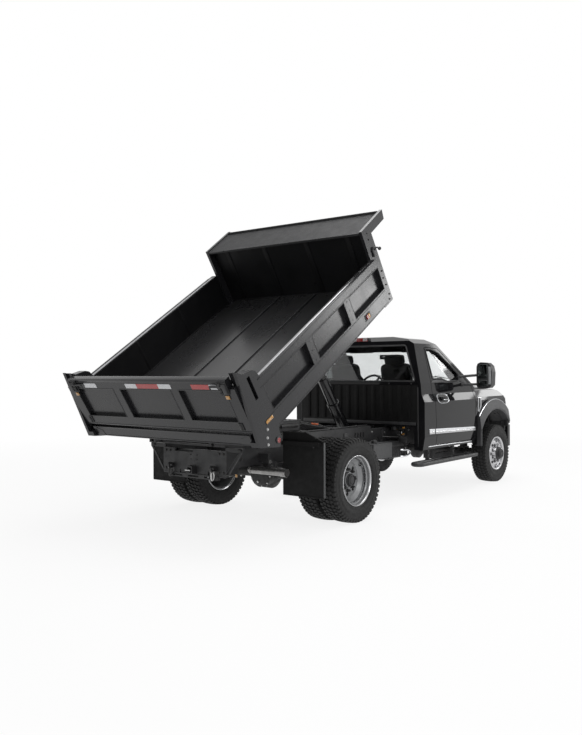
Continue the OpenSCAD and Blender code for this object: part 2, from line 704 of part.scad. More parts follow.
// Bed, in its own slanted frame: u along the floor to the front, n up from it
module bed_floor() color(steel) bed_place() {
  box(0, bed_len, -side_in, side_in, floor_n - floor_t, floor_n);
  box(bed_len - 10, wall_u, -post_in, post_in, floor_n - floor_t, floor_n);
  box(-gate_u + gate_t + 4, 10, -side_in + 30, side_in - 30, floor_n - floor_t, floor_n);
  for (y = [-690, -146, 396]) box(0, wall_u, y - 50, y + 50, floor_n - 5, floor_n + 10);
  for (i = [0 : 3]) box(150 + i * cross_u, 210 + i * cross_u, -side_in, side_in, side_low, floor_n - floor_t);
  pair() for (u = [bed_len - 400, bed_len - 80]) box(u, u + 60, 190, side_in, side_low, floor_n - floor_t);
  pair() difference() {
    union() {
      box(hinge_u, bed_len, lug_y - lug_t / 2, lug_y + lug_t / 2, side_low - sill_h, floor_n - floor_t);
      ycyl(hinge_u, hinge_n, bed_pin_d + 60, lug_y - lug_t / 2, lug_y + lug_t / 2);
    }
    ycyl(hinge_u, hinge_n, bed_pin_d + 2 * fit, lug_y - 60, lug_y + 60);
  }
  pair() {
    box(hoist_u - 70, hoist_u + 70, 60, 84, hoist_n - 55, floor_n - floor_t);
    box(hoist_u - 70, hoist_u + 70, 60, 190, side_low, side_low + 30);
    ycyl(hoist_u, hoist_n, 60, 54, 90);
  }
}

REAR_POST = [
  [-248, 645], [-340, -100], [-110, -260], [-50, -200], [2, 60], [6, 425], [-22, 515], [-60, 548], [-185, 585]
];
POST = [
  [bed_len, side_low - 60], [bed_front, side_low - 60], [bed_front, front_top - 20],
  [bed_front + shield_len + 15, front_top], [bed_front + shield_len + 33, front_top + 105],
  [bed_len + 15, front_top + 75], [bed_len + 15, side_top], [bed_len, side_top]
];
FIELDS = [[0, 0.327], [0.376, 0.661], [0.71, 1]] * bed_len;
function shield_n(u) = front_top + 35 + 0.062 * (u - bed_len);
module bed_side(s) color(steel) bed_place() flip(s) {
  difference() {
    box(-60, bed_len + 12, side_in, bed_y, side_low, side_top);
    for (f = FIELDS)
      box(f[0], f[1], bed_y - side_recess, bed_y + 10, side_low + low_rail, side_top - top_rail);
  }
  xz(POST, post_in, post_y);
  difference() {
    xz(REAR_POST, side_in - 30, bed_y);
    box(-gate_u - 100, -gate_u + gate_t + 6, 900, gate_wide + 6, -50, 700);
    box(-158, -116, bed_y - 80, bed_y + 10, 290, 525);
    ycyl(gate_hinge_u, gate_hinge_n, gate_pin_d + 2 * fit, 900, side_in + 30);
  }
}

module bed_bulkhead() color(steel) bed_place() {
  difference() {
    union() {
      wall(0, 40, -post_in, post_in);
      for (y = [-760, -380, 0, 380, 760]) wall(40, 90, y - 40, y + 40);
    }
    box(wall_u - 10, wall_u + 100, -190, 190, side_low - 10, floor_n - floor_t);
  }
}
module wall(a, b, y0, y1) xz([
  [wall_u + a, side_low], [wall_u + b, side_low], [wall_u + b, shield_n(wall_u + b)],
  [wall_u + a, shield_n(wall_u + a)]
], y0, y1);

module cab_shield() color(steel) bed_place() {
  heel = bed_len + 20;
  tip = bed_front + shield_len;
  xz([
    [heel, shield_n(heel)], [tip, shield_n(tip)], [tip, shield_n(tip) + 36], [tip - 18, shield_n(tip) + 36],
    [tip - 18, shield_n(tip) + 20], [heel, shield_n(heel) + 20]
  ], -post_in, post_in);
}

module rear_sill() color(steel) bed_place() {
  box(-gate_u, -gate_u + 60, -side_in + 32, side_in - 32, -110, 2);
  pair() box(-gate_u + 60, 150, lug_y - 200, lug_y - 140, side_low, 5);
}

module bed_lamps() color(red) bed_place() pair() {
  box(1790, 1850, bed_y, bed_y + 14, -22, 22);
  ycyl(-102, -188, 50, bed_y, bed_y + 12);
}

module tailgate() color(steel) bed_place() {
  difference() {
    union() {
      box(-gate_u, -gate_u + gate_t, -gate_y, gate_y, 34, gate_top);
      box(-gate_u, -gate_u + gate_t, -gate_wide, gate_wide, 34, 505);
    }
    for (y = [[-gate_wide + 122, -462], [-360, 360], [462, gate_wide - 122]])
      box(-gate_u - 10, -gate_u + 34, y[0], y[1], 145, 490);
  }
  pair() {
    box(-gate_u + gate_t - 2, gate_hinge_u, gate_y - 60, gate_y, gate_hinge_n - 22, gate_hinge_n + 22);
    ycyl(gate_hinge_u, gate_hinge_n, 44, gate_y - 60, gate_y);
    ycyl(gate_hinge_u, gate_hinge_n, gate_pin_d, gate_y - 10, side_in + 26);
  }
}

// Hoist: three stages in a barrel, along the line from trunnion to upper pin
stage_r = [for (i = [0 : 3]) barrel_r - i * (stage_wall + stage_gap)];
module hoist_place() shift() translate([hoist_x, 0, hoist_z]) rotate([0, 90 - hoist_angle, 0]) children();
module tube(r, z0, z1) difference() {
  translate([0, 0, z0]) cylinder(r = r, h = z1 - z0);
  translate([0, 0, z0 + 14]) cylinder(r = r - stage_wall, h = z1 - z0);
}
module hoist_barrel() color(steel) hoist_place() {
  tube(stage_r[0], -130, 500);
  pair() rotate([-90, 0, 0]) translate([0, 0, barrel_r - 6]) cylinder(d = 50, h = 66);
}
module hoist_stage_1() color(grey) hoist_place() tube(stage_r[1], -112 + stage_out, 520 + stage_out);
module hoist_stage_2() color(grey) hoist_place() tube(stage_r[2], -94 + 2 * stage_out, 540 + 2 * stage_out);
module hoist_rod() color(bright) hoist_place() {
  translate([0, 0, -76 + 3 * stage_out]) cylinder(r = stage_r[3], h = hoist_len - 40 + 76 - 3 * stage_out);
  translate([0, 0, hoist_len]) rotate([-90, 0, 0]) translate([0, 0, -50]) cylinder(d = 90, h = 100);
}

chassis_frame();
hoist_frame();
rear_axle();
front_axle();
springs();
engine_block();
driveline();
tanks();
pump_box();
exhaust();
mud_flaps();
hitch_plate();
cab_shell();
cab_roof();
windshield();
rear_window();
roof_lamp();
seats();
dashboard();
steering_wheel();
step_tubes();
fenders();
flares();
grille();
headlamps();
front_bumper();
hood();
door(1);  // door_left
door_glass(1);  // door_glass_left
mirror_arm(1);  // mirror_left
door(-1);  // door_right
door_glass(-1);  // door_glass_right
mirror_arm(-1);  // mirror_right
knuckle(1);  // knuckle_left
knuckle(-1);  // knuckle_right
rim_front(1);  // rim_front_left
rim_front(-1);  // rim_front_right
tyre_front(1);  // tyre_front_left
tyre_front(-1);  // tyre_front_right
rims_rear(1);  // rims_rear_left
rims_rear(-1);  // rims_rear_right
tyres_rear(1);  // tyres_rear_left
tyres_rear(-1);  // tyres_rear_right
bed_floor();
bed_side(1);  // bed_side_left
bed_side(-1);  // bed_side_right
bed_bulkhead();
cab_shield();
rear_sill();
bed_lamps();
tailgate();
hoist_barrel();
hoist_stage_1();
hoist_stage_2();
hoist_rod();
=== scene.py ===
"""Dump truck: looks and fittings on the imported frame, in metres."""
import bmesh
import bpy
from math import copysign, cos, exp, pi, radians, sin
from mathutils import Matrix, Vector

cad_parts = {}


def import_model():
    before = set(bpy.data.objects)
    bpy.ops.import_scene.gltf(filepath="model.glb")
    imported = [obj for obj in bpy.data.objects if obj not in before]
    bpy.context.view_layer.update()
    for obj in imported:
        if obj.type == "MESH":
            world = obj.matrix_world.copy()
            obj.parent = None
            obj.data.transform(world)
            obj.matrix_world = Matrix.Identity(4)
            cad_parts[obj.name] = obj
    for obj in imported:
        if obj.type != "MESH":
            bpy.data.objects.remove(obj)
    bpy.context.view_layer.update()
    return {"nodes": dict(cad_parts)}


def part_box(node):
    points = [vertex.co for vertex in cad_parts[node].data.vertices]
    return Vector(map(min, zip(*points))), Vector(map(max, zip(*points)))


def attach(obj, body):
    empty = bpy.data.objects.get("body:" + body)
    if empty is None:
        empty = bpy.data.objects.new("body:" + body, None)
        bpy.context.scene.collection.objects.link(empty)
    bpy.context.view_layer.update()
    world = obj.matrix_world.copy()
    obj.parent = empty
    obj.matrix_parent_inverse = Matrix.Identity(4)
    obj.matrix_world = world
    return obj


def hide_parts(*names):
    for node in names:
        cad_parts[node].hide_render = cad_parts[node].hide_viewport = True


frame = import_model()
NODES = frame["nodes"]

# Places: P takes the drawing's millimetres, B the tipped bed's own (along the floor, across, above the floor)
_lo, _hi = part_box("tyres_rear_right")
ORIGIN_X = -500.0 * (_lo[0] + _hi[0])
BED_X, BED_Z, BED_ANGLE = -1350.0, 1175.0, radians(33)
BED_C, BED_S = cos(BED_ANGLE), sin(BED_ANGLE)
BED_Y, BED_INSIDE_Y = 1215, 1140
RAIL_Y, SPRING_Y, HITCH_X = 430, 520, -1202
EYE, LENS = (-7068, -5892, 1604), 39.66
YAW, PITCH, ROLL = radians(38.27), radians(0.16), radians(-0.24)


def add_object(name, data):
    o = bpy.data.objects.new(name, data)
    bpy.context.scene.collection.objects.link(o)
    return o


def mesh_of(bm, name):
    me = bpy.data.meshes.new(name)
    bm.to_mesh(me)
    bm.free()
    return me


def between(a, b, k):
    return a + (b - a) * k


def P(x, y, z):
    return Vector(((x - ORIGIN_X) / 1000, y / 1000, z / 1000))


def B(u, y, n):
    return P(BED_X + u * BED_C - n * BED_S, y, BED_Z + u * BED_S + n * BED_C)


# Materials
def new(t, kind, **values):
    """A shader node with its inputs set; an underscore stands for the space in an input's name."""
    return set_inputs(t.nodes.new("ShaderNode" + kind), **values)


def set_inputs(n, **values):
    for key, v in values.items():
        n.inputs[key.replace("_", " ")].default_value = v
    return n


def link(t, a, ai, b, bi):
    t.links.new(a.outputs[ai], b.inputs[bi])


def nodes_of(name):
    m = bpy.data.materials.new(name)
    m.use_nodes = True
    t = m.node_tree
    return m, t, t.nodes["Principled BSDF"]


def dress(t, shader, colour, normal=None):
    link(t, colour, "Color", shader, "Base Color")
    if normal:
        link(t, normal, "Normal", shader, "Normal")


def coords(t, stretch=(1, 1, 1), turn=0.0):
    m = new(t, "Mapping", Scale=stretch, Rotation=(0, turn, 0))
    link(t, new(t, "TexCoord"), "Object", m, "Vector")
    return m


def pattern(t, where, kind, **values):
    n = new(t, "Tex" + kind, **values)
    link(t, where, "Vector", n, "Vector")
    return n


def noise_tex(t, where, scale, detail=4.0, rough=0.55):
    return pattern(t, where, "Noise", Scale=scale, Detail=detail, Roughness=rough)


def waves(t, where, axis, scale, distortion):
    n = pattern(t, where, "Wave", Scale=scale, Distortion=distortion)
    n.bands_direction = axis
    return n


def maths(t, operation, a, ai, b, bi):
    n = new(t, "Math")
    n.operation = operation
    link(t, a, ai, n, 0)
    link(t, b, bi, n, 1)
    return n


def ramp(t, fac, out, stops):
    r = new(t, "ValToRGB")
    for e, (pos, col) in zip(r.color_ramp.elements, stops):
        e.position = pos
        e.color = (*col, 1)
    link(t, fac, out, r, "Fac")
    return r


def spread(t, fac, lo, hi):
    r = new(t, "MapRange", From_Min=0.3, From_Max=0.7, To_Min=lo, To_Max=hi)
    link(t, fac, "Fac", r, "Value")
    return r


def bump(t, fac, out, strength, distance):
    b = new(t, "Bump", Strength=strength, Distance=distance)
    link(t, fac, out, b, "Height")
    return b


def rgb(*parts):
    """A colour in thousandths: one value for grey, two for grey with its own blue, or red, green and blue."""
    r, g, b = {1: (0, 0, 0), 2: (0, 0, 1), 3: (0, 1, 2)}[len(parts)]
    return parts[r] / 1000, parts[g] / 1000, parts[b] / 1000


def surface(name, dark, light, rough, scale, grain, grain_by, deep, metal=0.0, spec=0.5, stretch=(1, 1, 1), turn=0.0):
    """Cloudy colour, uneven gloss and a fine grain: the base of every hard finish here."""
    m, t, s = nodes_of(name)
    w = coords(t, stretch, turn)
    cloud = ramp(t, noise_tex(t, w, scale, 6.0, 0.6), "Fac", [(0.3, dark), (0.7, light)])
    dress(t, s, cloud, bump(t, noise_tex(t, w, grain, 2.0), "Fac", grain_by, deep))
    link(t, spread(t, noise_tex(t, w, scale * 3.1, 3.0), *rough), "Result", s, "Roughness")
    set_inputs(s, Metallic=metal, Specular_IOR_Level=spec)
    return m


def lens(name, col, through=0.35, ribs=160.0):
    m, t, s = nodes_of(name)
    rib = waves(t, coords(t), "Z", ribs, 0.4)
    dress(t, s, ramp(t, rib, "Fac", [(0.0, [0.72 * v for v in col]), (1.0, col)]), bump(t, rib, "Fac", 0.35, 0.001))
    set_inputs(s, Roughness=0.12, Transmission_Weight=through, Coat_Weight=0.5)
    return m


def tape(name, col):
    """Prismatic reflecting tape: a fine cell pattern under a gloss film."""
    m, t, s = nodes_of(name)
    v = pattern(t, coords(t), "Voronoi", Scale=260.0)
    v.feature = "DISTANCE_TO_EDGE"
    edge = ramp(t, v, "Distance", [(0.0, [0.6 * k for k in col]), (0.12, col)])
    dress(t, s, edge, bump(t, v, "Distance", 0.25, 0.001))
    set_inputs(s, Roughness=0.22, Coat_Weight=0.4)
    return m


def cloth(name, dark, light):
    m, t, s = nodes_of(name)
    w = coords(t)
    weave = maths(t, "MULTIPLY", waves(t, w, "X", 190.0, 0.6), "Fac", waves(t, w, "Z", 190.0, 0.6), "Fac")
    dress(t, s, ramp(t, weave, "Value", [(0.1, dark), (0.9, light)]), bump(t, weave, "Value", 0.5, 0.001))
    set_inputs(s, Roughness=0.9, Sheen_Weight=0.3)
    return m


def window(name, tint):
    m, t, s = nodes_of(name)
    w = coords(t)
    dress(t, s, ramp(t, noise_tex(t, w, 2.0, 2.0), "Fac", [(0.3, [0.92 * v for v in tint]), (0.7, tint)]))
    link(t, spread(t, noise_tex(t, w, 35.0), 0.0, 0.03), "Result", s, "Roughness")
    set_inputs(s, Transmission_Weight=1.0, IOR=1.45)
    return m


# Each finish: name, dark, light, range of roughness, scale of its clouds, then scale, strength and depth of its grain
MAT = {
    "gloss": surface("gloss_black", rgb(6, 7), rgb(10, 11), (0.03, 0.07), 1.2, 420, 0.02, 0.0004, spec=0.22),
    "bed": surface("bed_satin", rgb(10, 11), rgb(13, 15), (0.25, 0.29), 1.6, 300, 0.03, 0.0008,
                   spec=0.42, turn=BED_ANGLE),
    "shield": surface("shield_grip", rgb(19, 20), rgb(22, 23), (0.58, 0.70), 3.0, 380, 0.5, 0.002,
                      spec=0.3, turn=BED_ANGLE),
    "hoist": surface("hoist_black", rgb(6, 7), rgb(11, 12), (0.14, 0.26), 4.0, 300, 0.05, 0.0006),
    # A darker copy of the bed paint, used as painted shade: it darkens the bulkhead, the bed's inside walls and the
    # bands beside the floor ribs
    "inner": surface("bed_paint_painted_shade", rgb(1.6, 2), rgb(3.5, 4), (0.45, 0.6), 2.2, 220, 0.15, 0.001,
                     stretch=(1, 1, 0.35), turn=BED_ANGLE, spec=0.18),
    "floor": surface("floor_steel", rgb(19, 20), rgb(24, 25), (0.26, 0.30), 1.4, 90, 0.0, 0.0006,
                     metal=0.1, stretch=(0.12, 1, 1), turn=BED_ANGLE),
    "chassis": surface("chassis_black", rgb(10, 11), rgb(24, 25), (0.42, 0.62), 5, 180, 0.18, 0.001),
    "cast": surface("cast_iron", rgb(16, 17), rgb(38, 37, 36), (0.5, 0.72), 9, 240, 0.4, 0.002),
    "wheel": surface("wheel_grey", rgb(240, 245, 250), rgb(310, 315, 320), (0.28, 0.42), 7, 320, 0.05, 0.0008,
                     metal=0.35),
    "polished": surface("polished", rgb(420, 430), rgb(560, 570), (0.18, 0.32), 9, 260, 0.03, 0.0006, metal=1.0),
    "bright": surface("bright_steel", rgb(620, 630, 650), rgb(800, 810, 830), (0.08, 0.20), 30, 400, 0.04, 0.0005,
                      metal=1.0),
    "zinc": surface("zinc", rgb(420), rgb(580, 570), (0.28, 0.45), 40, 300, 0.12, 0.0008, metal=0.9),
    "pipe": surface("pipe", rgb(200, 195, 190), rgb(340, 335, 330), (0.25, 0.42), 14, 200, 0.1, 0.001, metal=0.9),
    "tank": surface("tank_grey", rgb(36, 37, 38), rgb(50, 51, 53), (0.4, 0.55), 8, 200, 0.1, 0.001),
    "tyre": surface("tyre_rubber", rgb(9), rgb(16), (0.62, 0.82), 12, 260, 0.3, 0.001, spec=0.35),
    "flap": surface("flap_rubber", rgb(4), rgb(8), (0.6, 0.8), 6, 160, 0.3, 0.001, spec=0.2),
    "hose": surface("hose_rubber", rgb(10), rgb(20), (0.45, 0.6), 30, 300, 0.2, 0.001),
    "trim": surface("moulded_trim", rgb(14, 15), rgb(24, 25), (0.45, 0.62), 10, 520, 0.35, 0.0008),
    "flare": surface("flare_plastic", rgb(22, 24), rgb(34, 36), (0.38, 0.55), 8, 480, 0.3, 0.0008),
    # A near-black finish used as painted shade on the cab's back below the rear window
    "liner": surface("cab_back_painted_shade", rgb(3), rgb(6), (0.5, 0.65), 12, 380, 0.3, 0.001, spec=0.15),
    "orange": surface("orange_sheath", rgb(420, 70, 12), rgb(550, 110, 20), (0.4, 0.55), 30, 300, 0.1, 0.0008),
    "pale": surface("pale_box", rgb(420, 430, 440), rgb(550, 560, 570), (0.4, 0.55), 20, 260, 0.1, 0.0008),
    # A bright metal finish that paints the highlight along the top of the bed's side rails
    "steel": surface("rail_top_painted_highlight", rgb(300, 310), rgb(460, 470), (0.16, 0.30), 5, 300, 0.04, 0.0006,
                     metal=1.0, turn=BED_ANGLE),
    "amber": surface("amber_plastic", rgb(620, 270, 40), rgb(850, 420, 80), (0.3, 0.45), 30, 300, 0.1, 0.0008),
    "mirror": surface("mirror_glass", rgb(85, 95, 95), rgb(110, 120, 120), (0.02, 0.05), 3, 60, 0.01, 0.0003,
                      metal=1.0),
    "red_lens": lens("red_lens", rgb(420, 12, 12)),
    "amber_lens": lens("amber_lens", rgb(850, 420, 80)),
    "clear_lens": lens("clear_lens", rgb(820, 840, 860), 0.55, 90.0),
    "tape_red": tape("tape_red", rgb(420, 20, 20)),
    "tape_white": tape("tape_white", rgb(700, 710, 730)),
    "cloth": cloth("seat_cloth", rgb(8, 9), rgb(24, 26)),
    "glass": window("tinted_glass", rgb(950, 965, 965)),
}

WEARS = {
    "gloss": "cab_shell cab_roof hood fenders door_left door_right front_bumper",
    "bed": "bed_side_left bed_side_right rear_sill tailgate",
    "shield": "cab_shield",
    # The bulkhead wears the darker bed paint as painted shade
    "inner": "bed_bulkhead",
    "floor": "bed_floor",
    "chassis": "chassis_frame hoist_frame springs driveline hitch_plate knuckle_left knuckle_right step_tubes "
               "pump_box",
    "hoist": "hoist_barrel hoist_stage_1 hoist_stage_2 hoist_rod",
    "cast": "rear_axle front_axle engine_block",
    "wheel": "rims_rear_left rims_rear_right",
    "polished": "rim_front_left rim_front_right",
    "pipe": "exhaust",
    "tank": "tanks",
    "tyre": "tyre_front_left tyre_front_right tyres_rear_left tyres_rear_right",
    "flap": "mud_flaps",
    "flare": "flares",
    "trim": "steering_wheel dashboard mirror_left mirror_right grille",
    "glass": "windshield rear_window door_glass_left door_glass_right",
    "clear_lens": "headlamps",
    "red_lens": "roof_lamp bed_lamps",
    "cloth": "seats",
}
for key, names in WEARS.items():
    for name in names.split():
        o = NODES[name]
        o.data.materials.clear()
        o.data.materials.append(MAT[key])


# Mesh tools
def circle(n):
    return [(cos(2 * pi * i / n), sin(2 * pi * i / n)) for i in range(n)]


def axes(along):
    """A unit vector along, and two across it."""
    d = Vector(along).normalized()
    x = d.orthogonal().normalized()
    return d, x, d.cross(x)


class Piece:
    """Gathers shapes in millimetres of P or B, then becomes one object; its first material is the usual one."""

    def __init__(self, name, mats, body="chassis", at=P):
        self.name, self.body, self.at = name, body, at
        self.mats = mats.split()
        self.bm = bmesh.new()

    def _tag(self, faces, m):
        for f in faces:
            f.material_index = self.mats.index(m) if m else 0

    def _round(self, verts, bevel, m, segs=2):
        if bevel > 0:
            edges = set(e for v in verts for e in v.link_edges)
            r = bmesh.ops.bevel(self.bm, geom=list(edges), offset=bevel, segments=segs, affect="EDGES", profile=0.5,
                                clamp_overlap=True)
            self._tag(r["faces"], m)

    def box(self, a, b, bevel=0.0, m=None, segs=2):
        """A bevelled block between two opposite corners, in any order."""
        lo, hi = [min(p) for p in zip(a, b)], [max(p) for p in zip(a, b)]
        vs = bmesh.ops.create_cube(self.bm, size=1.0)["verts"]
        for v in vs:
            v.co = Vector([lo[i] + (hi[i] - lo[i]) * (v.co[i] + 0.5) for i in range(3)])
        self._tag(set(f for v in vs for f in v.link_faces), m)
        self._round(vs, bevel, m, segs)

    def loft(self, rings, m=None, caps=True):
        """Skins rings of equal length; each ring is a closed list of points."""
        rows = [[self.bm.verts.new(p) for p in ring] for ring in rings]
        n = len(rows[0])
        fs = [self.bm.faces.new((a[i], a[(i + 1) % n], b[(i + 1) % n], b[i]))
              for a, b in zip(rows, rows[1:]) for i in range(n)]
        if caps:
            fs += [self.bm.faces.new(list(reversed(rows[0]))), self.bm.faces.new(rows[-1])]
        self._tag(fs, m)
        return [v for row in rows for v in row]

    def rod(self, a, b, r, segs=16, m=None, rim=0.0):
        """A rod from a to b; r is a radius or a pair of them, and rim rounds both ends off."""
        a, b = Vector(a), Vector(b)
        d, x, y = axes(b - a)
        r, r2 = r if isinstance(r, tuple) else (r, r)
        steps = [(a, r), (b, r2)]
        if rim > 0:
            steps = [(a, r - rim), (a + d * rim, r), (b - d * rim, r2), (b, r2 - rim)]
        self.loft([[c + (x * p + y * q) * k for p, q in circle(segs)] for c, k in steps], m)

    def tube(self, pts, r, segs=10, m=None):
        """A round tube along points."""
        pts = [Vector(p) for p in pts]
        x = axes(pts[1] - pts[0])[1]
        rings = []
        for i, p in enumerate(pts):
            d = (pts[min(i + 1, len(pts) - 1)] - pts[max(i - 1, 0)]).normalized()
            x = (x - d * x.dot(d)).normalized()
            y = d.cross(x)
            rings.append([p + (x * u + y * v) * r for u, v in circle(segs)])
        self.loft(rings, m)

    def lathe(self, centre, axis, profile, segs=64, m=None, closed=False):
        """Turns (radius, along) points round an axis; closed joins the last point to the first."""
        c = Vector(centre)
        d, x, y = axes(axis)
        cols = [[self.bm.verts.new(c + (x * u + y * v) * r + d * s) for r, s in profile] for u, v in circle(segs)]
        k = len(profile)
        self._tag([self.bm.faces.new((a[j], b[j], b[(j + 1) % k], a[(j + 1) % k]))
                   for a, b in zip(cols, cols[1:] + cols[:1]) for j in range(k if closed else k - 1)], m)

    def plate(self, outline, lift, m=None, bevel=0.0):
        """An outline of points pushed along the vector lift."""
        a = [Vector(p) for p in outline]
        self._round(self.loft([a, [p + Vector(lift) for p in a]], m), bevel, m)

    def bolt(self, at, axis, size=12.0, high=8.0, m=None, washer=True):
        """A hexagon head on a washer, standing on the face at the point."""
        p, d = Vector(at), Vector(axis).normalized()
        if washer:
            self.rod(p, p + d * 2.0, size * 1.25, 16, m)
        self.rod(p + d * (2.0 if washer else 0.0), p + d * high, (size, size * 0.9), 6, m)

    def done(self, slot, smooth=35.0, replaces=()):
        """Places the shapes in the frame and makes them one object."""
        for v in self.bm.verts:
            v.co = self.at(*v.co)
        bmesh.ops.recalc_face_normals(self.bm, faces=self.bm.faces[:])
        me = mesh_of(self.bm, self.name)
        for k in self.mats:
            me.materials.append(MAT[k])
        me.shade_smooth()
        me.set_sharp_from_angle(angle=radians(smooth))
        o = add_object(self.name, me)
        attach(o, self.body)
        for n in replaces:
            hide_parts(n)


SIDES = ((1, "left"), (-1, "right"))
UP, FORE, AFT = (0, 0, 1), (1, 0, 0), (-1, 0, 0)


# Tyres: a turned carcass with a moulded tread of staggered blocks
TREAD, BLOCKS = 14.0, 54
REAR = dict(r=442.5, bead=265.0)
FRONT = dict(r=407.5, bead=238.0)
REAR_Y, HALF_TWIN = 965.0, 132.5
FRONT_X, FRONT_Y, ARCH_Z = 3790.0, 950.0, 472.5
CARCASS = [(0.02, -93), (0.08, -98), (0.14, -101), (0.24, -107), (0.40, -112), (0.56, -112), (0.61, -109.5),
           (0.65, -111), (0.78, -107), (0.87, -101), (0.905, -92), (0.918, -60), (0.923, 0)]
CENTRE = [(-19, -22), (4, -24), (9, -12), (19, -9), (19, 22), (-4, 24), (-9, 12), (-19, 9)]
MIDDLE = [(-20, 30), (3, 27), (9, 37), (20, 41), (17, 66), (-6, 69), (-11, 58), (-20, 53)]
SHOULDER = [(-18, 73), (16, 71), (19, 97), (14, 107), (-15, 107), (-19, 97)]


def tyre(name, body, cx, cy, r, bead):
    p = Piece(name, "tyre", body)
    half = [(bead + (r - bead) * k, y) for k, y in CARCASS]
    prof = half + [(q, -y) for q, y in reversed(half[:-1])]
    prof += [(bead + 1, 86), (bead + 1, -86)]
    axle = Vector((cx, cy, r))
    p.lathe(axle, (0, 1, 0), prof, 120, closed=True)
    step = 2 * pi / BLOCKS
    edge = bead + 0.9 * (r - bead)

    def crown(y):
        return r - 7.0 * (abs(y) / 100.0) ** 2.2

    def block(poly, ang, sy, deep):
        top, low = [], []
        ms = sum(q[0] for q in poly) / len(poly)
        my = sum(q[1] for q in poly) / len(poly)
        for s, y in poly:
            for ring, k, h in ((top, 0.92, crown(y)), (low, 1.06, crown(y) - deep)):
                a = ang + (ms + (s - ms) * k) / r
                yy = max(min(sy * (my + (y - my) * k), 111.0), -111.0)
                ring.append(axle + Vector((sin(a) * h, yy, cos(a) * h)))
        p.loft([low, top] if sy > 0 else [list(reversed(low)), list(reversed(top))])

    for i in range(BLOCKS):
        a = i * step
        block(CENTRE, a, 1, TREAD)
        block(MIDDLE, a + 0.45 * step, 1, TREAD)
        block(MIDDLE, a - 0.05 * step, -1, TREAD)
        block(SHOULDER, a + 0.12 * step, 1, TREAD + 14)
        block(SHOULDER, a + 0.62 * step, -1, TREAD + 14)
        for sy, off in ((1, 0.12), (-1, 0.62)):
            t = a + off * step
            e = Vector((sin(t), 0, cos(t)))
            f = Vector((cos(t), 0, -sin(t)))
            wide, long = (13.0, 34.0) if i % 2 else (9.0, 24.0)
            ring = []
            for q, y in ((edge, 101), (edge - long, 107.5)):
                for s in (-wide, wide):
                    ring.append(axle + e * q + f * s + Vector((0, sy * y, 0)))
            quad = [ring[0], ring[1], ring[3], ring[2]]
            rings = [quad, [q + Vector((0, sy * 3.4, 0)) for q in quad]]
            p.loft(rings if sy > 0 else [list(reversed(k)) for k in rings])
    for sy in (1, -1):
        for k, y in ((0.17, 103.2), (0.48, 112.2)):
            q = bead + k * (r - bead)
            p.lathe(axle + Vector((0, sy * y, 0)), (0, 1, 0),
                    [(q - 3, -2), (q - 1.5, sy * 1.6), (q + 1.5, sy * 1.6), (q + 3, -2)], 96)
    return p


def around(centre, radius, count, start=0.0):
    """Points on a wheel's bolt circle, in the plane across its axle."""
    for i in range(count):
        a = start + 2 * pi * i / count
        yield Vector((centre[0] + radius * sin(a), centre[1], centre[2] + radius * cos(a)))


def rear_hub(s, tag):
    c = Vector((0, s * REAR_Y, REAR["r"]))
    out = Vector((0, s, 0))
    p = Piece("hub_rear_" + tag, "cast chassis", "wheels_rear_" + tag)
    p.lathe(c, out, [(84, 101), (84, 112), (80, 118), (74, 128), (71, 142), (66, 146), (62, 162), (54, 166), (50, 168),
                     (49, 160), (40, 158), (38, 164), (26, 167), (0.5, 168)], 48, "chassis")
    for q in around(c, 60, 8, 0.2):
        p.bolt(q + out * 146, out, 6, 8, "cast", False)
    for q in around(c, 112, 8):
        p.rod(q + out * 99, q + out * 105, (22, 20), 24)
        p.rod(q + out * 104, q + out * 132, (16, 15), 6)
        p.rod(q + out * 130, q + out * 142, (9, 8), 12)
    p.done("chassis_black")
    lip = Piece("rim_lip_rear_" + tag, "polished flap hose", "wheels_rear_" + tag)
    b, e = REAR["bead"], HALF_TWIN + 94.5
    for k in (1, -1):
        lip.lathe(c, out * k, [(b - 15, e - 10), (b - 10, e + 2), (b - 5, e + 7), (b - 1, e + 6), (b + 2, e),
                               (b - 4, e - 6)], 96, "polished", True)
    lip.lathe(c, out, [(b - 31, 150), (b - 27, 154), (b - 25, 165), (b - 25, 172), (b - 22, 176), (b - 30, 178),
                       (b - 32, 160)], 96, "polished", True)
    # Near-black discs on the rim's face paint the shade seen through its hand holes
    for q in around(c, 152, 8):
        lip.rod(q + out * 76, q + out * 91, 23.6, 24, "flap", 1)
    a = 0.9
    v = Vector((sin(a), 0, cos(a)))
    lip.tube([c + v * (b - 38) + out * 128, c + v * (b - 46) + out * 140, c + v * (b - 52) + out * 168], 6, 10, "hose")
    lip.rod(c + v * (b - 52) + out * 166, c + v * (b - 53) + out * 180, (7.5, 6.5), 12)
    lip.done("polished")


def front_hub(s, tag):
    c = Vector((FRONT_X, s * FRONT_Y, FRONT["r"]))
    out = Vector((0, s, 0))
    p = Piece("hub_front_" + tag, "polished chassis cast", "wheel_front_" + tag)
    p.lathe(c, out, [(92, 112), (90, 134), (84, 142), (72, 145), (66, 146), (64, 168), (58, 176), (46, 180), (44, 172),
                     (30, 170), (28, 176), (0.5, 178)], 48, "chassis")
    for q in around(c, 122, 8, 0.39):
        p.rod(q + out * 86, q + out * 95, (20, 19), 24, "cast")
        p.rod(q + out * 94, q + out * 118, (16, 15), 6)
        p.rod(q + out * 117, q + out * 124, (14, 6), 16)
    p.done("polished")
    lip = Piece("rim_lip_front_" + tag, "polished", "wheel_front_" + tag)
    b = FRONT["bead"]
    lip.lathe(c, out, [(b - 26, 91), (b - 20, 98), (b - 12, 104), (b - 4, 104), (b + 1, 97), (b - 4, 92), (b - 14, 98)],
              96, "polished", True)
    lip.done("polished")


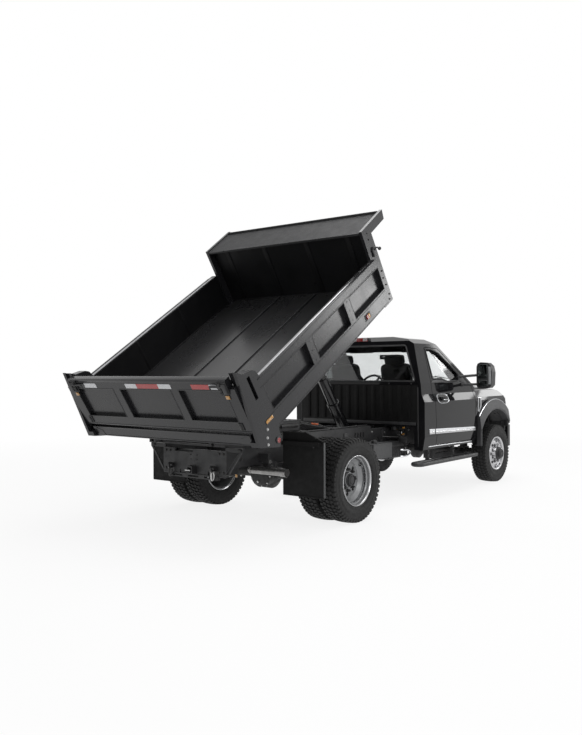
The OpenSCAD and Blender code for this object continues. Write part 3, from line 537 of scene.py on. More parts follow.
for side, tag in SIDES:
    tyre("tyre_front_" + tag + "_tread", "wheel_front_" + tag, FRONT_X, side * FRONT_Y, **FRONT).done(
        "tyre", 40, ["tyre_front_" + tag])
    for where, y in (("inner", REAR_Y - HALF_TWIN), ("outer", REAR_Y + HALF_TWIN)):
        tyre("tyre_rear_%s_%s_tread" % (where, tag), "wheels_rear_" + tag, 0.0, side * y, **REAR).done(
            "tyre", 40, ["tyres_rear_" + tag])
    rear_hub(side, tag)
    front_hub(side, tag)


# Bed fittings, in the bed's own frame

def frame_of(a, b, low, top):
    """The four edges of an upright rectangle."""
    return ((a, low), (b, low)), ((a, top), (b, top)), ((a, low), (a, top)), ((b, low), (b, top))


def tailgate_fittings():
    p = Piece("tailgate_reflectors", "tape_white tape_red", "tailgate", B)
    for y0, y1, key in ((880, 692, "tape_white"), (246, 84, "tape_white"), (84, -217, "tape_red"),
                        (-217, -388, "tape_white"), (-656, -883, "tape_red"), (-883, -975, "tape_white")):
        p.box((-302.5, y0 - 1, 500), (-299.5, y1 + 1, 552), 0.8, key, 1)
    p.done("bed_paint", 30)
    for s, tag in SIDES:
        q = Piece("tailgate_latch_" + tag, "chassis cast amber_lens", "tailgate", B)
        q.box((-309, s * 1000, 452), (-299, s * 1100, 582), 3)
        q.box((-330, s * 1052, 470), (-305, s * 1098, 566), 7)
        q.rod((-319, s * 905, 541), (-319, s * 1060, 541), 10, 16, "chassis", 3)
        q.rod((-319, s * 905, 541), (-319, s * 905, 512), (8, 7), 14, "chassis", 2)
        q.rod((-318, s * 1026, 458), (-318, s * 1026, 574), 12, 18, "cast", 3)
        for n in (474, 506, 560):
            q.rod((-318, s * 1026, n - 9), (-318, s * 1026, n + 9), 18, 18, "chassis", 2)
        for y, n in ((1088, 462), (1012, 462), (1088, 574), (1012, 574)):
            q.bolt((-309, s * y, n), AFT, 7, 8, "cast")
        q.box((-305, s * 1030, 398), (-299, s * 1086, 446), 2)
        q.box((-311, s * 1036, 403), (-304, s * 1080, 441), 3, "amber_lens")
        for n in (90, 120):
            q.rod((-312, s * 1060, n - 24), (-312, s * 1060, n + 10), 9, 14, "cast", 2)
        q.box((-309, s * 1035, 60), (-299, s * 1085, 138), 3)
        q.done("chassis_black")
    r = Piece("tailgate_seams", "bed", "tailgate", B)
    for y0, y1 in ((-1050, -462), (-360, 360), (462, 1050)):
        for a, b in frame_of(y0, y1, 145, 490):
            r.rod((-299, *a), (-299, *b), 5, 8, "bed", 1.5)
    r.box((-302, -1100, 566), (-238, 1100, 603), 9, "bed", 3)
    r.box((-304, -1165, 36), (-296, 1165, 52), 3)
    r.done("bed_paint")


def bed_fittings():
    for s, tag in SIDES:
        y = s * BED_Y
        p = Piece("bed_side_fittings_" + tag, "chassis bed zinc amber_lens cast steel", "bed", B)

        def skin(us, ys, ns, *finish):
            """A block on the side plate, from so far inside it to so far outside."""
            p.box((us[0], y - s * ys[0], ns[0]), (us[1], y + s * ys[1], ns[1]), *finish)

        skin((-40, 2278), (2, 4), (58, 66), 1.8, "bed", 1)
        skin((0, 2278), (2, 4), (-84, -76), 1.8, "bed", 1)
        skin((-40, 2224), (2, 4), (346, 354), 1.8, "bed", 1)
        skin((-40, 2222), (30, 6), (427, 440), 5, "bed")
        # A bright strip on the rail top: a painted highlight standing for the sky's reflection there
        skin((-40, 2222), (66, -32), (426, 439), 5, "steel")
        for u0, u1 in ((0, 745.6), (857.3, 1507.1), (1618.8, 2280)):
            for a, b in frame_of(u0, u1, 85, 340):
                p.rod((a[0], y - s * 2, a[1]), (b[0], y - s * 2, b[1]), 4.5, 8, "bed", 1)
        for u, n in ((-172, -16), (-214, -79), (-239, -138)):
            p.bolt((u, y, n), (0, s, 0), 11, 10, "zinc")
        skin((-160, -42), (1, 4), (24, 62), 3, "chassis")
        skin((-155, -47), (0, 9), (28, 58), 4, "amber_lens")
        for k in range(5):
            p.rod((-145 + 22 * k, y + s * 8.5, 31), (-145 + 22 * k, y + s * 8.5, 55), 2, 6, "amber_lens")
        for u, n in ((2431, 227), (2415, 149), (2431, 58), (2395, 700), (2385, 631), (2431, -60), (2405, -110)):
            p.bolt((u, s * 1150, n), (0, s, 0), 9, 8, "cast")
        for u in (800, 1562):
            for n in (110, 215, 320):
                p.bolt((u, y, n), (0, s, 0), 6, 5, "bed", False)
        skin((1760, 1880), (2, 3), (-36, 36), 3, "chassis")
        skin((1820, 1852), (-1, 17), (-24, 24), 4, "amber_lens")
        p.lathe((-102, y + s * 2, -188), (0, s, 0), [(30, -4), (32, 4), (29, 8), (26, 10), (25, 12)], 28)
        z = s * 1158
        p.rod((2375, z, 430), (2375, z, 505), (11, 10), 14, "chassis", 3)
        p.tube([(2375, z, 500), (2387, z + s * 4, 518), (2415, z + s * 14, 522), (2447, z + s * 22, 505),
                (2471, z + s * 26, 484)], 9, 12)
        p.lathe((2477, z + s * 26, 478), (0.7, 0, -0.7),
                [(0.5, -20), (12, -16), (19, -6), (20, 4), (14, 14), (0.5, 18)], 20)
        p.done("bed_paint")
        # A thin sheet over each inside wall face, its posts and the rod at the floor seam carry the darker bed paint as
        # painted shade
        w = Piece("bed_inner_wall_" + tag, "inner", "bed", B)
        face = s * BED_INSIDE_Y
        for u in (735, 1497):
            w.box((u - 13, face - s * 7, 44), (u + 13, face + s * 2, 420), 4)
        w.box((4, face - s * 3, 34), (2278, face + s * 2, 428), 1.5, "inner", 1)
        w.rod((0, face - s * 6, 34), (2278, face - s * 6, 34), 11, 8, "inner", 2)
        w.done("bed_paint")
    # Ribs, bolt and the corner rod at the floor seam use the darker bed paint as painted shade
    p = Piece("bulkhead_ribs", "inner", "bed", B)
    for y in (300, -320, -890, 890):
        p.box((2372, y - 30, 60), (2383, y + 30, 705), 5)
    p.rod((2376, -1110, 34), (2376, 1110, 34), 12, 8, "inner", 2)
    p.bolt((2379, -237, 172), AFT, 12, 10)
    p.done("bed_paint")
    f = Piece("floor_welds_and_painted_rib_light", "floor inner tank", "bed", B)
    for y in (-690, -146, 396):
        f.rod((4, y + 50, 33), (2370, y + 50, 33), 4.5, 8, "floor", 1)
        # Beside each weld rod: a near-black band as painted shadow, and a lighter grey rod as a painted highlight along
        # the rib's edge
        f.box((4, y - 72, 28), (2370, y - 49, 33), 2, "inner", 1)
        f.rod((4, y - 48, 39), (2370, y - 48, 39), 3.5, 8, "tank", 1)
    f.box((-60, -1128, 27), (-52, 1128, 33), 2, "floor", 1)
    f.done("floor_steel")
    t = Piece("shield_lip", "shield bed", "bed", B)
    for s in (1, -1):
        t.rod((2304, s * 1111, 747), (2755, s * 1111, 775), 5, 8, "bed", 1)
    t.rod((2303, -1111, 746), (2303, 1111, 746), 6, 10, "bed", 1.5)
    t.rod((2766, -1112, 791), (2766, 1112, 791), 9, 12, "shield", 2)
    t.done("bed_paint")
    k = Piece("rear_sill_trim", "bed", "bed", B)
    for s in (1, -1):
        k.plate([(-303, s * 1100, 4), (-303, s * 980, -40), (-303, s * 960, -108), (-303, s * 1105, -108)], (4, 0, 0))
    k.box((-306, -1090, -112), (-238, 1090, -100), 4)
    k.box((-304, -1095, -8), (-296, 1095, 4), 3)
    k.done("bed_paint")


tailgate_fittings()
bed_fittings()


# Chassis fittings
def axle_place(x, y, z):
    return P(x, y, z + REAR["r"] - 425.0)


def chassis_fittings():
    for s, tag in SIDES:
        y = s * RAIL_Y
        mid = s * SPRING_Y
        out = (0, s, 0)
        p = Piece("rail_fittings_" + tag, "chassis zinc cast hose")
        for x, z in ((1477, 824), (1759, 806), (1465, 705), (1700, 700), (900, 800), (900, 690), (760, 800),
                     (420, 820), (120, 820), (-180, 820), (-480, 815), (-700, 800), (-700, 690), (-960, 800),
                     (-960, 700), (2050, 800), (2050, 690), (2380, 800), (2600, 690)):
            p.bolt((x, y, z), out, 11, 11, "zinc" if x > 1400 and z > 700 else "cast")
        for x in (860, 1700):
            p.box((x, y, 640), (x + 90, y + s * 9, 845), 3)
        p.tube([(-1080, s * 392, 908), (-600, s * 390, 910), (0, s * 394, 909), (300, s * 388, 911),
                (700, s * 392, 909), (1100, s * 386, 911), (1440, s * 380, 908)], 9, 10, "hose")
        p.tube([(-1060, s * 371, 907), (-300, s * 372, 907), (350, s * 369, 908), (1000, s * 372, 907),
                (1440, s * 368, 907)], 7, 10, "hose")
        for x in (-900, -420, 60, 640, 1180):
            p.box((x, s * 366, 899), (x + 26, s * 408, 921), 4)
        p.done("chassis_black")

        q = Piece("spring_fittings_" + tag, "cast zinc chassis", at=axle_place)
        for x in (-52, 52):
            q.tube([(x, s * 480, 380), (x, s * 478, 470), (x, s * 478, 575), (x, s * 486, 592), (x, mid, 600),
                    (x, s * 554, 592), (x, s * 562, 575), (x, s * 562, 470), (x, s * 560, 380)], 9, 10)
        q.box((-78, mid - 52, 566), (78, mid + 52, 588), 4)
        q.box((-78, mid - 52, 352), (78, mid + 52, 372), 4)
        for x in (-52, 52):
            for d in (-40, 40):
                q.bolt((x, mid + d, 352), (0, 0, -1), 12, 16, "zinc")
        for x, z in ((-400, 566), (400, 566), (-560, 600), (560, 600)):
            q.box((x - 16, mid - 42, z - 40), (x + 16, mid + 42, z + 26), 3)
        for x in (-665, 665):
            q.rod((x, mid - 44, 640), (x, mid + 44, 640), 26, 20, "cast", 4)
            q.bolt((x, mid + s * 44, 640), out, 14, 14, "zinc")
        q.rod((150, s * 600, 470), (330, s * 470, 790), 26, 20, "chassis", 4)
        q.rod((126, s * 617, 428), (240, s * 535, 630), 34, 20, "cast", 5)
        q.rod((330, s * 425, 790), (330, s * 500, 790), 18, 16, "zinc", 3)
        q.done("cast")

        f = Piece("flap_fittings_" + tag, "chassis tank flap")
        for yy in (770, 880, 990, 1100):
            f.bolt((-640, s * yy, 868 - max(yy - 1000, 0) * 0.3), AFT, 9, 8)
        f.box((-644, s * 1223, 340), (-618, s * 1230, 886), 3, "tank")
        f.box((-645, s * 716, 333), (-638, s * 1224, 347), 2, "flap")
        f.box((-645, s * 720, 842), (-638, s * 1186, 852), 2)
        f.done("chassis_black")

    d = Piece("axle_cover", "cast zinc hose", at=axle_place)
    d.lathe((0, 0, 425), AFT, [(150, 150), (150, 158), (134, 162), (126, 178), (104, 196), (62, 206), (0.5, 209)], 48)
    for q in around((0, 0, 0), 141, 10, 0.15):
        d.bolt((-158, q[0], 425 + q[2]), AFT, 9, 9, "zinc", False)
    d.rod((-200, 0, 340), (-212, 0, 338), (14, 13), 8, "zinc", 2)
    for s in (1, -1):
        d.tube([(-60, s * 60, 600), (-80, s * 120, 585), (-70, s * 300, 505), (-66, s * 560, 500)], 5, 8, "hose")
    d.done("cast")

    e = Piece("tail_pipe_tip", "pipe cast")
    a = Vector((-770, -790, 578))
    b = Vector((-770, -866, 576))
    e.rod(a, b, (41, 42), 32, "pipe", 1.5)
    ax = (b - a).normalized()
    e.lathe(b, ax, [(42, -12), (44, -4), (43, 1), (38, 1), (37, -22), (0.5, -23)], 32)
    e.lathe(b, ax, [(36.5, 0), (36.5, -18), (0.5, -18.5)], 32, "cast")
    for x in (40, 760, 1560, 2330):
        e.lathe((x, -260, 578), FORE, [(38.5, -16), (43, -14), (43, 14), (38.5, 16)], 32)
    for x in (1690, 2210):
        e.lathe((x, -260, 578), FORE, [(50, -10), (86, -8), (89, 0), (86, 8), (50, 10)], 40)
    e.done("pipe")

    h = Piece("hitch_fittings", "chassis zinc amber_lens cast")
    for s in (1, -1):
        for y, z in ((410, 585), (350, 585), (410, 770), (350, 770)):
            h.bolt((HITCH_X, s * y, z), AFT, 12, 12, "cast")
        h.rod((HITCH_X - 1, s * 445, 575), (HITCH_X + 10, s * 634, 822), 5, 8, "chassis", 1)
        x = HITCH_X - 45
        ring = [(x + 26 * sin(t) * 0.8, s * 300 + 4 * cos(2 * t), 592 - 40 + 42 * cos(t))
                for t in [2 * pi * k / 20 for k in range(21)]]
        key = "zinc" if s < 0 else "cast"
        h.tube(ring, 8, 10, key)
        h.rod((x, s * 300 - 26, 592), (x, s * 300 + 26, 592), 9, 14, key, 2)
        h.box((HITCH_X - 6, s * 612 - 26, 806), (HITCH_X + 2, s * 612 + 26, 830), 3)
    h.box((HITCH_X - 8, -604, 556), (HITCH_X + 2, -568, 592), 3)
    h.box((HITCH_X - 12, -600, 560), (HITCH_X - 6, -572, 588), 3, "amber_lens")
    h.box((HITCH_X - 6, -566, 560), (HITCH_X + 6, -440, 574), 2)
    h.box((HITCH_X - 4, -440, 536), (HITCH_X + 1, 440, 546), 2)
    h.rod((HITCH_X - 92, -36, 594), (HITCH_X - 92, 36, 594), 7, 12, "zinc", 2)
    for y in (-200, 200):
        h.plate([(HITCH_X - 16, y - 5, 545), (HITCH_X - 1, y - 5, 545), (HITCH_X - 1, y - 5, 590)], (0, 10, 0))
    h.done("chassis_black")

    k = Piece("tank_fittings", "tank chassis bright")
    for s in (1, -1):
        top = 715 if s < 0 else 800
        for z in (546, top - 6):
            k.box((998, s * 758, z - 4), (1412, s * 762, z + 4), 1.5)
        k.rod((1200, s * 640, top), (1200, s * 640, top + 34), (36, 34), 28, "chassis", 4)
        k.rod((1200, s * 640, top + 30), (1200, s * 640, top + 44), (20, 18), 8, "chassis", 3)
    k.tube([(1830, -632, 588), (1840, -654, 588), (1950, -656, 582), (2010, -655, 566), (2036, -652, 546),
            (2010, -655, 524), (1950, -656, 508), (1840, -654, 504), (1830, -632, 504)], 14, 12, "bright")
    k.done("tank_grey")

    n = Piece("battery_box", "chassis trim zinc")
    n.box((1432, -640, 495), (2000, -455, 686), 16, "trim", 3)
    n.box((1424, -648, 640), (2008, -450, 694), 12, "chassis", 3)
    for x in (1520, 1900):
        n.box((x, -652, 490), (x + 30, -448, 699), 4)
        n.box((x - 6, -470, 560), (x + 36, -428, 690), 4)
        n.bolt((x + 15, -652, 600), (0, -1, 0), 9, 9, "zinc")
    for x in range(1580, 1881, 50):
        n.box((x, -646, 512), (x + 22, -634, 628), 4, "trim")
    n.done("chassis_black")

    m = Piece("valve_block", "chassis cast zinc hose amber bright", at=lambda x, y, z: P(x + 240, y, z))
    m.box((1640, -560, 700), (1730, -438, 830), 8)
    m.rod((1660, -500, 826), (1660, -500, 880), (44, 42), 28, "chassis", 6)
    m.rod((1700, -560, 740), (1700, -604, 740), (26, 24), 20, "cast", 4)
    m.rod((1700, -560, 800), (1700, -596, 800), (22, 20), 20, "bright", 4)
    m.rod((1660, -560, 770), (1660, -590, 770), (16, 14), 6, "zinc", 2)
    m.box((1712, -598, 762), (1752, -566, 786), 5, "amber")
    m.box((1640, -448, 745), (1740, -428, 815), 4)
    m.tube([(1700, -600, 740), (1745, -620, 744), (1772, -610, 790), (1768, -560, 850), (1740, -480, 876),
            (1690, -410, 880), (1600, -392, 878)], 9, 10, "hose")
    m.tube([(1660, -588, 770), (1640, -615, 752), (1590, -580, 744), (1520, -490, 748), (1470, -426, 752)],
           8, 10, "hose")
    m.rod((1775, -560, 842), (1765, -585, 872), (15, 13), 16, "amber", 3)
    m.done("chassis_black")

    u = Piece("pump_fittings", "hose chassis orange cast")
    u.box((-262, -252, 1024), (262, 252, 1036), 5, "chassis")
    for x in (-180, 60):
        u.rod((x, -150, 1034), (x, -150, 1050), (42, 40), 28, "chassis", 6)
    for x in (-240, -80, 80, 240):
        for y in (-232, 232):
            u.bolt((x, y, 1036), UP, 8, 8, "cast")
    for s in (1, -1):
        u.rod((-180, s * 240, 975), (200, s * 240, 975), 26, 20, "cast", 5)
        u.rod((-120, s * 262, 975), (-60, s * 262, 975), 20, 16, "chassis", 4)
        u.tube([(240, s * 150, 985), (330, s * 160, 990), (520, s * 210, 950), (720, s * 300, 915),
                (900, s * 350, 908)], 10, 10)
        u.tube([(-240, s * 120, 985), (-360, s * 140, 985), (-560, s * 240, 940), (-800, s * 340, 908)], 9, 10)
        u.tube([(240, s * 225, 1010), (384, s * 300, 985), (480, s * 330, 972), (574, s * 350, 940),
                (660, s * 362, 912)], 8, 10)
        u.tube([(384, s * 300, 985), (432, s * 315, 978.5), (480, s * 330, 972)], 10, 10, "orange")
    u.done("chassis_black")

    t = Piece("step_treads", "chassis trim")
    for s in (1, -1):
        for x0, x1 in ((2290, 2560), (2620, 3040)):
            t.box((x0, s * 942, 459), (x1, s * 1040, 465), 2, "trim")
            for i in range((x1 - x0) // 26):
                x = x0 + 16 + 26 * i
                t.rod((x, s * 991 - 41, 465), (x, s * 991 + 41, 465), 3.2, 6, "trim", 1)
        for y in (1050, 930):
            t.lathe((3118, s * y, 445), FORE, [(28, -14), (28.5, 2), (23, 8), (0.5, 10)], 24)
        for x, z in ((2070, 600), (2070, 540), (2750, 600), (2750, 540)):
            t.bolt((x, s * 900, z), (0, s, 0), 10, 10)
    t.done("chassis_black")


def on_arch(r, y, degrees):
    """A point on a circle about the front wheel arch's centre."""
    t = radians(degrees)
    return Vector((FRONT_X + r * cos(t), y, ARCH_Z + r * sin(t)))


def arch_liners():
    """Moulded wheel-well linings under the fenders."""
    for s, tag in SIDES:
        p = Piece("arch_liner_" + tag, "trim chassis")
        rings = []
        for i in range(37):
            t = between(36, 166, i / 36)
            low = 549 if i % 4 == 2 else 552
            rings.append([on_arch(r, s * y, t) for r, y in ((low, 757), (low, 953), (558, 953), (558, 757))])
        p.loft(rings)
        p.box((4207, s * 745, 702), (4231, s * 985, 862), 6, "trim", 2)
        for y in (790, 860, 930):
            p.box((4201, s * y - 12, 715), (4209, s * y + 12, 850), 3)
        p.box((4128, s * 735, 770), (4231, s * 762, 945), 5)
        p.box((4150, s * 440, 770), (4162, s * 757, 905), 4)
        p.box((4196, s * 980, 772), (4234, s * 1042, 852), 6)
        for t in (60, 90, 120, 150):
            p.bolt(on_arch(549, s * 900, t), on_arch(0, 0, 0) - on_arch(1, 0, t), 9, 6, "chassis")
        p.done("trim")


def hoist_fittings():
    foot = Vector((1556, 0, 756))
    lean = radians(125.855)
    d = Vector((cos(lean), 0, sin(lean)))

    def spot(along, x, y, z):
        return foot + d * along + Vector((x, y, z))

    q = Piece("barrel_collar", "hoist zinc hose", "hoist_barrel")
    q.lathe(foot + d * 520, d, [(75, -26), (80, -24), (82, -16), (82, 4), (78, 8), (78, 14), (71, 15)], 48)
    q.rod(spot(90, 0, 76, 0), spot(90, 0, 108, 0), (17, 15), 16, "zinc", 3)
    q.tube([spot(90, 0, 106, 0), spot(84, 4, 128, 2), spot(60, 10, 136, 6), spot(20, 22, 132, 4)], 9, 10, "hose")
    q.lathe(foot + d * 60, d, [(75, -10), (79, -8), (79, 8), (75, 10)], 48)
    q.done("chassis_black")


chassis_fittings()
arch_liners()
hoist_fittings()


# Cab fittings
SIDE = [(600, 970), (760, 1000), (1195, 1000), (1290, 958), (1430, 945), (1930, 815), (2030, 700)]
DOOR_WINDOW = [(2125, 1484), (2108, 1860), (2270, 1860), (2430, 1812), (2640, 1682), (2850, 1538), (2826, 1452),
               (2500, 1446), (2330, 1486)]
MIRROR = [(1150, 1385), (1164, 1354), (1200, 1345), (1325, 1352), (1358, 1388), (1366, 1560), (1348, 1645),
          (1305, 1684), (1205, 1690), (1166, 1672), (1150, 1632)]


def side_y(z):
    """Half width of the cab at a height."""
    for (z0, y0), (z1, y1) in zip(SIDE, SIDE[1:]):
        if z <= z1:
            return y0 + (y1 - y0) * (z - z0) / (z1 - z0)
    return SIDE[-1][1]


STRIP_X, STRIP_LONG = 1910, 1348
HANDLE_X, HANDLE_Z = 2292, 1228
MIRROR_Y, MIRROR_Z = 1258, 1520


def strip(p, s, x0, x1):
    """A bright moulding along the lower side, falling towards the front; its lower half is duller."""
    rings = []
    for i in range(13):
        x = between(x0, x1, i / 12)
        k = (x - STRIP_X) / STRIP_LONG
        low, top = between(790, 761, k), between(858, 819, k)
        ring = []
        for f, d in ((0, -2), (0.04, 4), (0.2, 8), (0.42, 8), (0.5, 4.5), (0.58, 8), (0.8, 8), (0.96, 4), (1, -2)):
            z = between(low, top, f)
            ring.append(Vector((x, s * (side_y(z) + d), z)))
        rings.append(ring)
    p.loft([r[:5] for r in rings], "polished")
    p.loft([r[4:] for r in rings], "bright")


def doors():
    for s, tag in SIDES:
        body = "door_" + tag
        p = Piece("door_trim_" + tag, "bright trim gloss chassis polished", body)
        strip(p, s, 2064, 3200)

        def on_side(outline, d):
            return [(x, s * (side_y(z) + d), z) for x, z in outline]

        p.tube(on_side(DOOR_WINDOW + DOOR_WINDOW[:2], 2), 8, 8, "trim")
        sail = [(2828, 1448), (2853, 1538), (2900, 1516), (3030, 1428), (3020, 1408)]
        p.plate(on_side(sail, 1), (0, s * 5, 0), "trim", 2)
        belt = [(2062, 1432), (2330, 1434), (2500, 1426), (2830, 1428), (2830, 1440), (2500, 1440), (2332, 1470),
                (2120, 1468)]
        p.plate(on_side(belt, 0.5), (0, s * 3, 0), "trim")
        oval = circle(36)

        def spot(a, b, k, d):
            ex = copysign(abs(a) ** 0.6, a) * 146 * k
            ez = copysign(abs(b) ** 0.7, b) * 57 * k
            return Vector((HANDLE_X + ex, s * (side_y(HANDLE_Z + ez) + d), HANDLE_Z + ez))

        p.loft([[spot(*q, k, d) for q in oval] for k, d in ((1, 0), (0.98, 3), (0.6, 2), (0.2, 1))], "chassis")
        p.tube([spot(*q, 1.0, 3) for q in oval + oval[:2]], 5, 8)
        p.box((2204, s * 1028, 1206), (2346, s * 1036, 1252), 6, "gloss", 3)
        p.box((2214, s * 1034, 1212), (2336, s * 1039, 1218), 1.5)
        p.lathe((2392, s * 988, 1229), (0, s, 0), [(15, -4), (15, 4), (12, 6), (0.5, 6)], 20)
        p.done("trim", 30)

        m = Piece("mirror_parts_" + tag, "trim mirror clear_lens", body)
        for y, low, top in ((1170, 1478, 1664), (1172, 1374, 1452)):
            m.box((2939, s * (y - 6), low - 6), (2947, s * 1306, top + 6), 5, "trim", 3)
            m.box((2936, s * y, low), (2947, s * 1300, top), 4, "mirror", 3)
        m.box((2936, s * 1314, 1400), (2960, s * 1352, 1636), 9, "clear_lens", 3)
        for k in range(7):
            z = 1425 + 31 * k
            m.rod((2937, s * 1320, z), (2937, s * 1346, z), 3, 8, "clear_lens", 1)

        def shell(x, k):
            """The mirror's outline at x, scaled by k about its middle."""
            return [Vector((x, s * between(MIRROR_Y, y, k), between(MIRROR_Z, z, k))) for y, z in MIRROR]

        m.loft([shell(*q) for q in ((3043, 1.0), (3058, 0.98), (3072, 0.93), (3083, 0.80), (3089, 0.55), (3091, 0.2))])
        lip = [shell(*q) for q in ((2938, 1.0), (2934, 1.012), (2940, 1.02), (2956, 1.012), (2958, 1.0), (2958, 0.97),
                                   (2938, 0.95))]
        m.loft(lip + lip[:1], "trim", caps=False)
        m.rod((2884, s * 925, 1502), (2896, s * 955, 1505), (26, 22), 20, "trim", 4)
        m.rod((2898, s * 945, 1395), (2908, s * 975, 1396), (26, 22), 20, "trim", 4)
        m.done("trim")


def cab():
    p = Piece("cab_trim", "bright trim chassis polished")
    for s in (1, -1):
        strip(p, s, 1905, 2044)
        p.rod((1930, s * 974, 634), (3149, s * 973, 622), 8, 10, "bright", 3)
        vent = [(3304, 1208), (3384, 1204), (3386, 1090), (3322, 1008), (3298, 1022)]
        y = s * 992
        p.plate([(x, y - s * 24, z) for x, z in vent], (0, s * 27, 0), "chassis", 1)
        p.tube([(x, y + s * 4, z) for x, z in vent + vent[:2]], 8, 8)
        for z in (1060, 1092, 1124, 1156):
            p.box((3312, y, z), (3386, y + s * 7, z + 12), 2, "chassis")
        # A thin bright steel ring along the flare's outer edge paints the highlight where the fender meets the flare
        edge = [on_arch(703, s * 1029, between(28, 152, i / 24)) for i in range(25)]
        p.tube([q for q in edge if 3280 < q.x < 4232], 4, 8)
    p.done("trim", 30)

    g = Piece("rear_window_seal", "chassis trim liner")
    ring = [(858, 1470), (842, 1452), (-842, 1452), (-858, 1470), (-706, 1890), (-690, 1905), (690, 1905), (706, 1890)]

    def back(y, z, d):
        return Vector((1790 + (z - 1440) * 72 / 525 - d, y, z))

    g.tube([back(y, z, 1) for y, z in ring + ring[:2]], 11, 10, "trim")
    for y in (-820, -500, 500, 820):
        g.bolt((1774, y, 1425), AFT, 9, 7)
    # A near-black sheet and ribs over the cab's back below the window: painted shade where it sits behind the bed's
    # front
    g.box((1782, -905, 940), (1796, 905, 1410), 3, "liner")
    for i in range(-6, 7):
        g.box((1772, 130 * i - 27, 962), (1786, 130 * i + 27, 1400), 5, "liner")
    for s in (1, -1):
        g.tube([(1802, s * 905, 640), (1794, s * 905, 900), (1790, s * 905, 1380)], 8, 8)
        g.box((1770, s * 700 - 60, 690), (1796, s * 700 + 60, 760), 6)
    g.box((1780, -880, 905), (1797, 880, 945), 5)
    g.done("trim")

    r = Piece("roof_lamp_ends", "clear_lens trim red_lens")
    for s in (1, -1):
        r.box((1861, s * 50, 1974), (1880, s * 116, 2011), 4, "clear_lens", 3)
        r.box((1863, s * 118, 1968), (1900, s * 150, 2012), 5, "trim", 3)
    r.box((1861, -47, 1975), (1880, 47, 2010), 5, "red_lens", 3)
    r.done("lamp_red")

    w = Piece("wipers", "trim chassis bright")

    def screen(x, y, d):
        return Vector((x + 0.56 * d, y, 1905 - 0.681 * (x - 2460) + 0.83 * d))

    for y, lean in ((520, -300), (-180, -300)):
        w.rod(screen(3200, y, -14), screen(3200, y, 16), (17, 15), 18, "trim", 4)
        w.tube([screen(3200, y, 12), screen(3120, y + lean * 0.45, 16), screen(3050, y + lean, 10)], 6, 8)
        w.tube([screen(3105, y + lean - 250, 2), screen(3060, y + lean, 6), screen(3030, y + lean + 250, 2)],
               5, 8, "chassis")
    glass = [(895, 1402), (690, 1858), (-690, 1858), (-895, 1402)]
    w.tube([Vector((2460 + (1905 - z) / 0.681 + 1, y, z)) for y, z in glass + glass[:2]], 9, 8)
    w.rod((2548, 0, 1800), (2590, 0, 1776), 7, 10, "trim", 2)
    w.box((2536, -115, 1742), (2552, 115, 1806), 8, "trim", 3)
    w.box((2532, -108, 1748), (2538, 108, 1800), 3, "bright", 2)
    for y in (-420, 420):
        w.box((2500, y - 170, 1838), (2590, y + 170, 1850), 5, "trim", 2)
    w.done("trim")

    d = Piece("dash_fittings", "trim chassis")
    d.box((2850, 220, 1330), (2960, 580, 1384), 16, "trim", 3)
    d.box((2838, 250, 1240), (2856, 550, 1330), 8, "chassis", 3)
    for y in (-780, -300, 250, 760):
        d.box((2836, y - 55, 1250), (2858, y + 55, 1306), 7, "trim", 3)
        for k in range(4):
            d.box((2833, y - 48, 1258 + 11 * k), (2840, y + 48, 1263 + 11 * k), 1.5, "chassis", 1)
    d.box((2830, -140, 1140), (2872, 140, 1300), 10, "trim", 3)
    d.box((2826, -110, 1190), (2834, 110, 1285), 4, "chassis", 2)
    d.done("trim")

    f = Piece("front_fittings", "trim bright clear_lens chassis amber_lens pale polished")
    for a, b in (((4284, -604, 1196), (4302, 604, 1222)), ((4284, -604, 790), (4302, 604, 816))):
        f.box(a, b, 6, "bright", 3)
    for s in (1, -1):
        f.box((4284, s * 580, 800), (4302, s * 606, 1212), 6, "bright", 3)
        for z in (938, 1172):
            f.box((4262, s * 604, z - 6), (4292, s * 926, z + 8), 4)
        f.lathe((4278, s * 690, 1060), FORE, [(74, -14), (78, 4), (70, 6), (64, 0), (34, -4), (0.5, 2)], 40, "polished")
        f.lathe((4278, s * 840, 1060), FORE, [(58, -14), (62, 4), (55, 6), (50, 0), (26, -4), (0.5, 2)], 40, "polished")
        f.box((4276, s * 612, 948), (4284, s * 918, 968), 3, "amber_lens")
        f.lathe((4436, s * 700, 600), FORE, [(62, -18), (66, 10), (58, 14), (52, 4), (0.5, 8)], 32)
        f.lathe((4440, s * 700, 600), FORE, [(50, 0), (46, 8), (20, 12), (0.5, 13)], 32, "clear_lens")
        f.tube([(x, s * 380, z) for x, z in ((4452, 520), (4492, 516), (4500, 540), (4496, 566), (4462, 572))],
               13, 10, "chassis")
    for y in range(-540, 541, 45):
        f.rod((4246, y, 826), (4246, y, 1196), 4, 6)
    f.box((4478, -165, 560), (4486, 165, 668), 4, "pale")
    f.box((4476, -175, 550), (4481, 175, 678), 3)
    f.box((4440, -520, 500), (4474, 520, 540), 8, "trim", 2)
    f.done("trim")

    h = Piece("hood_dome", "gloss", "hood")
    rings = []
    across = ((-350, -3), (-330, 0.3), (-300, 0.85), (-250, 1), (-90, 0.55), (0, 0.45), (90, 0.55), (250, 1),
              (300, 0.85), (330, 0.3), (350, -3))
    for x, z, k in ((3352, 1345, 0), (3480, 1354, 8), (3700, 1371, 13), (3960, 1339, 12), (4120, 1320, 9),
                    (4200, 1308, 0)):
        rings.append([Vector((x, y, z + (part * k if part > 0 else -4))) for y, part in across])
    h.loft(rings)
    h.done("black_paint", 50)


# Seats: cushions swollen by a cloth run, then sewn
CLOTH_FRAMES, PRESSURE, VOXEL = 20, 4.0, 0.011


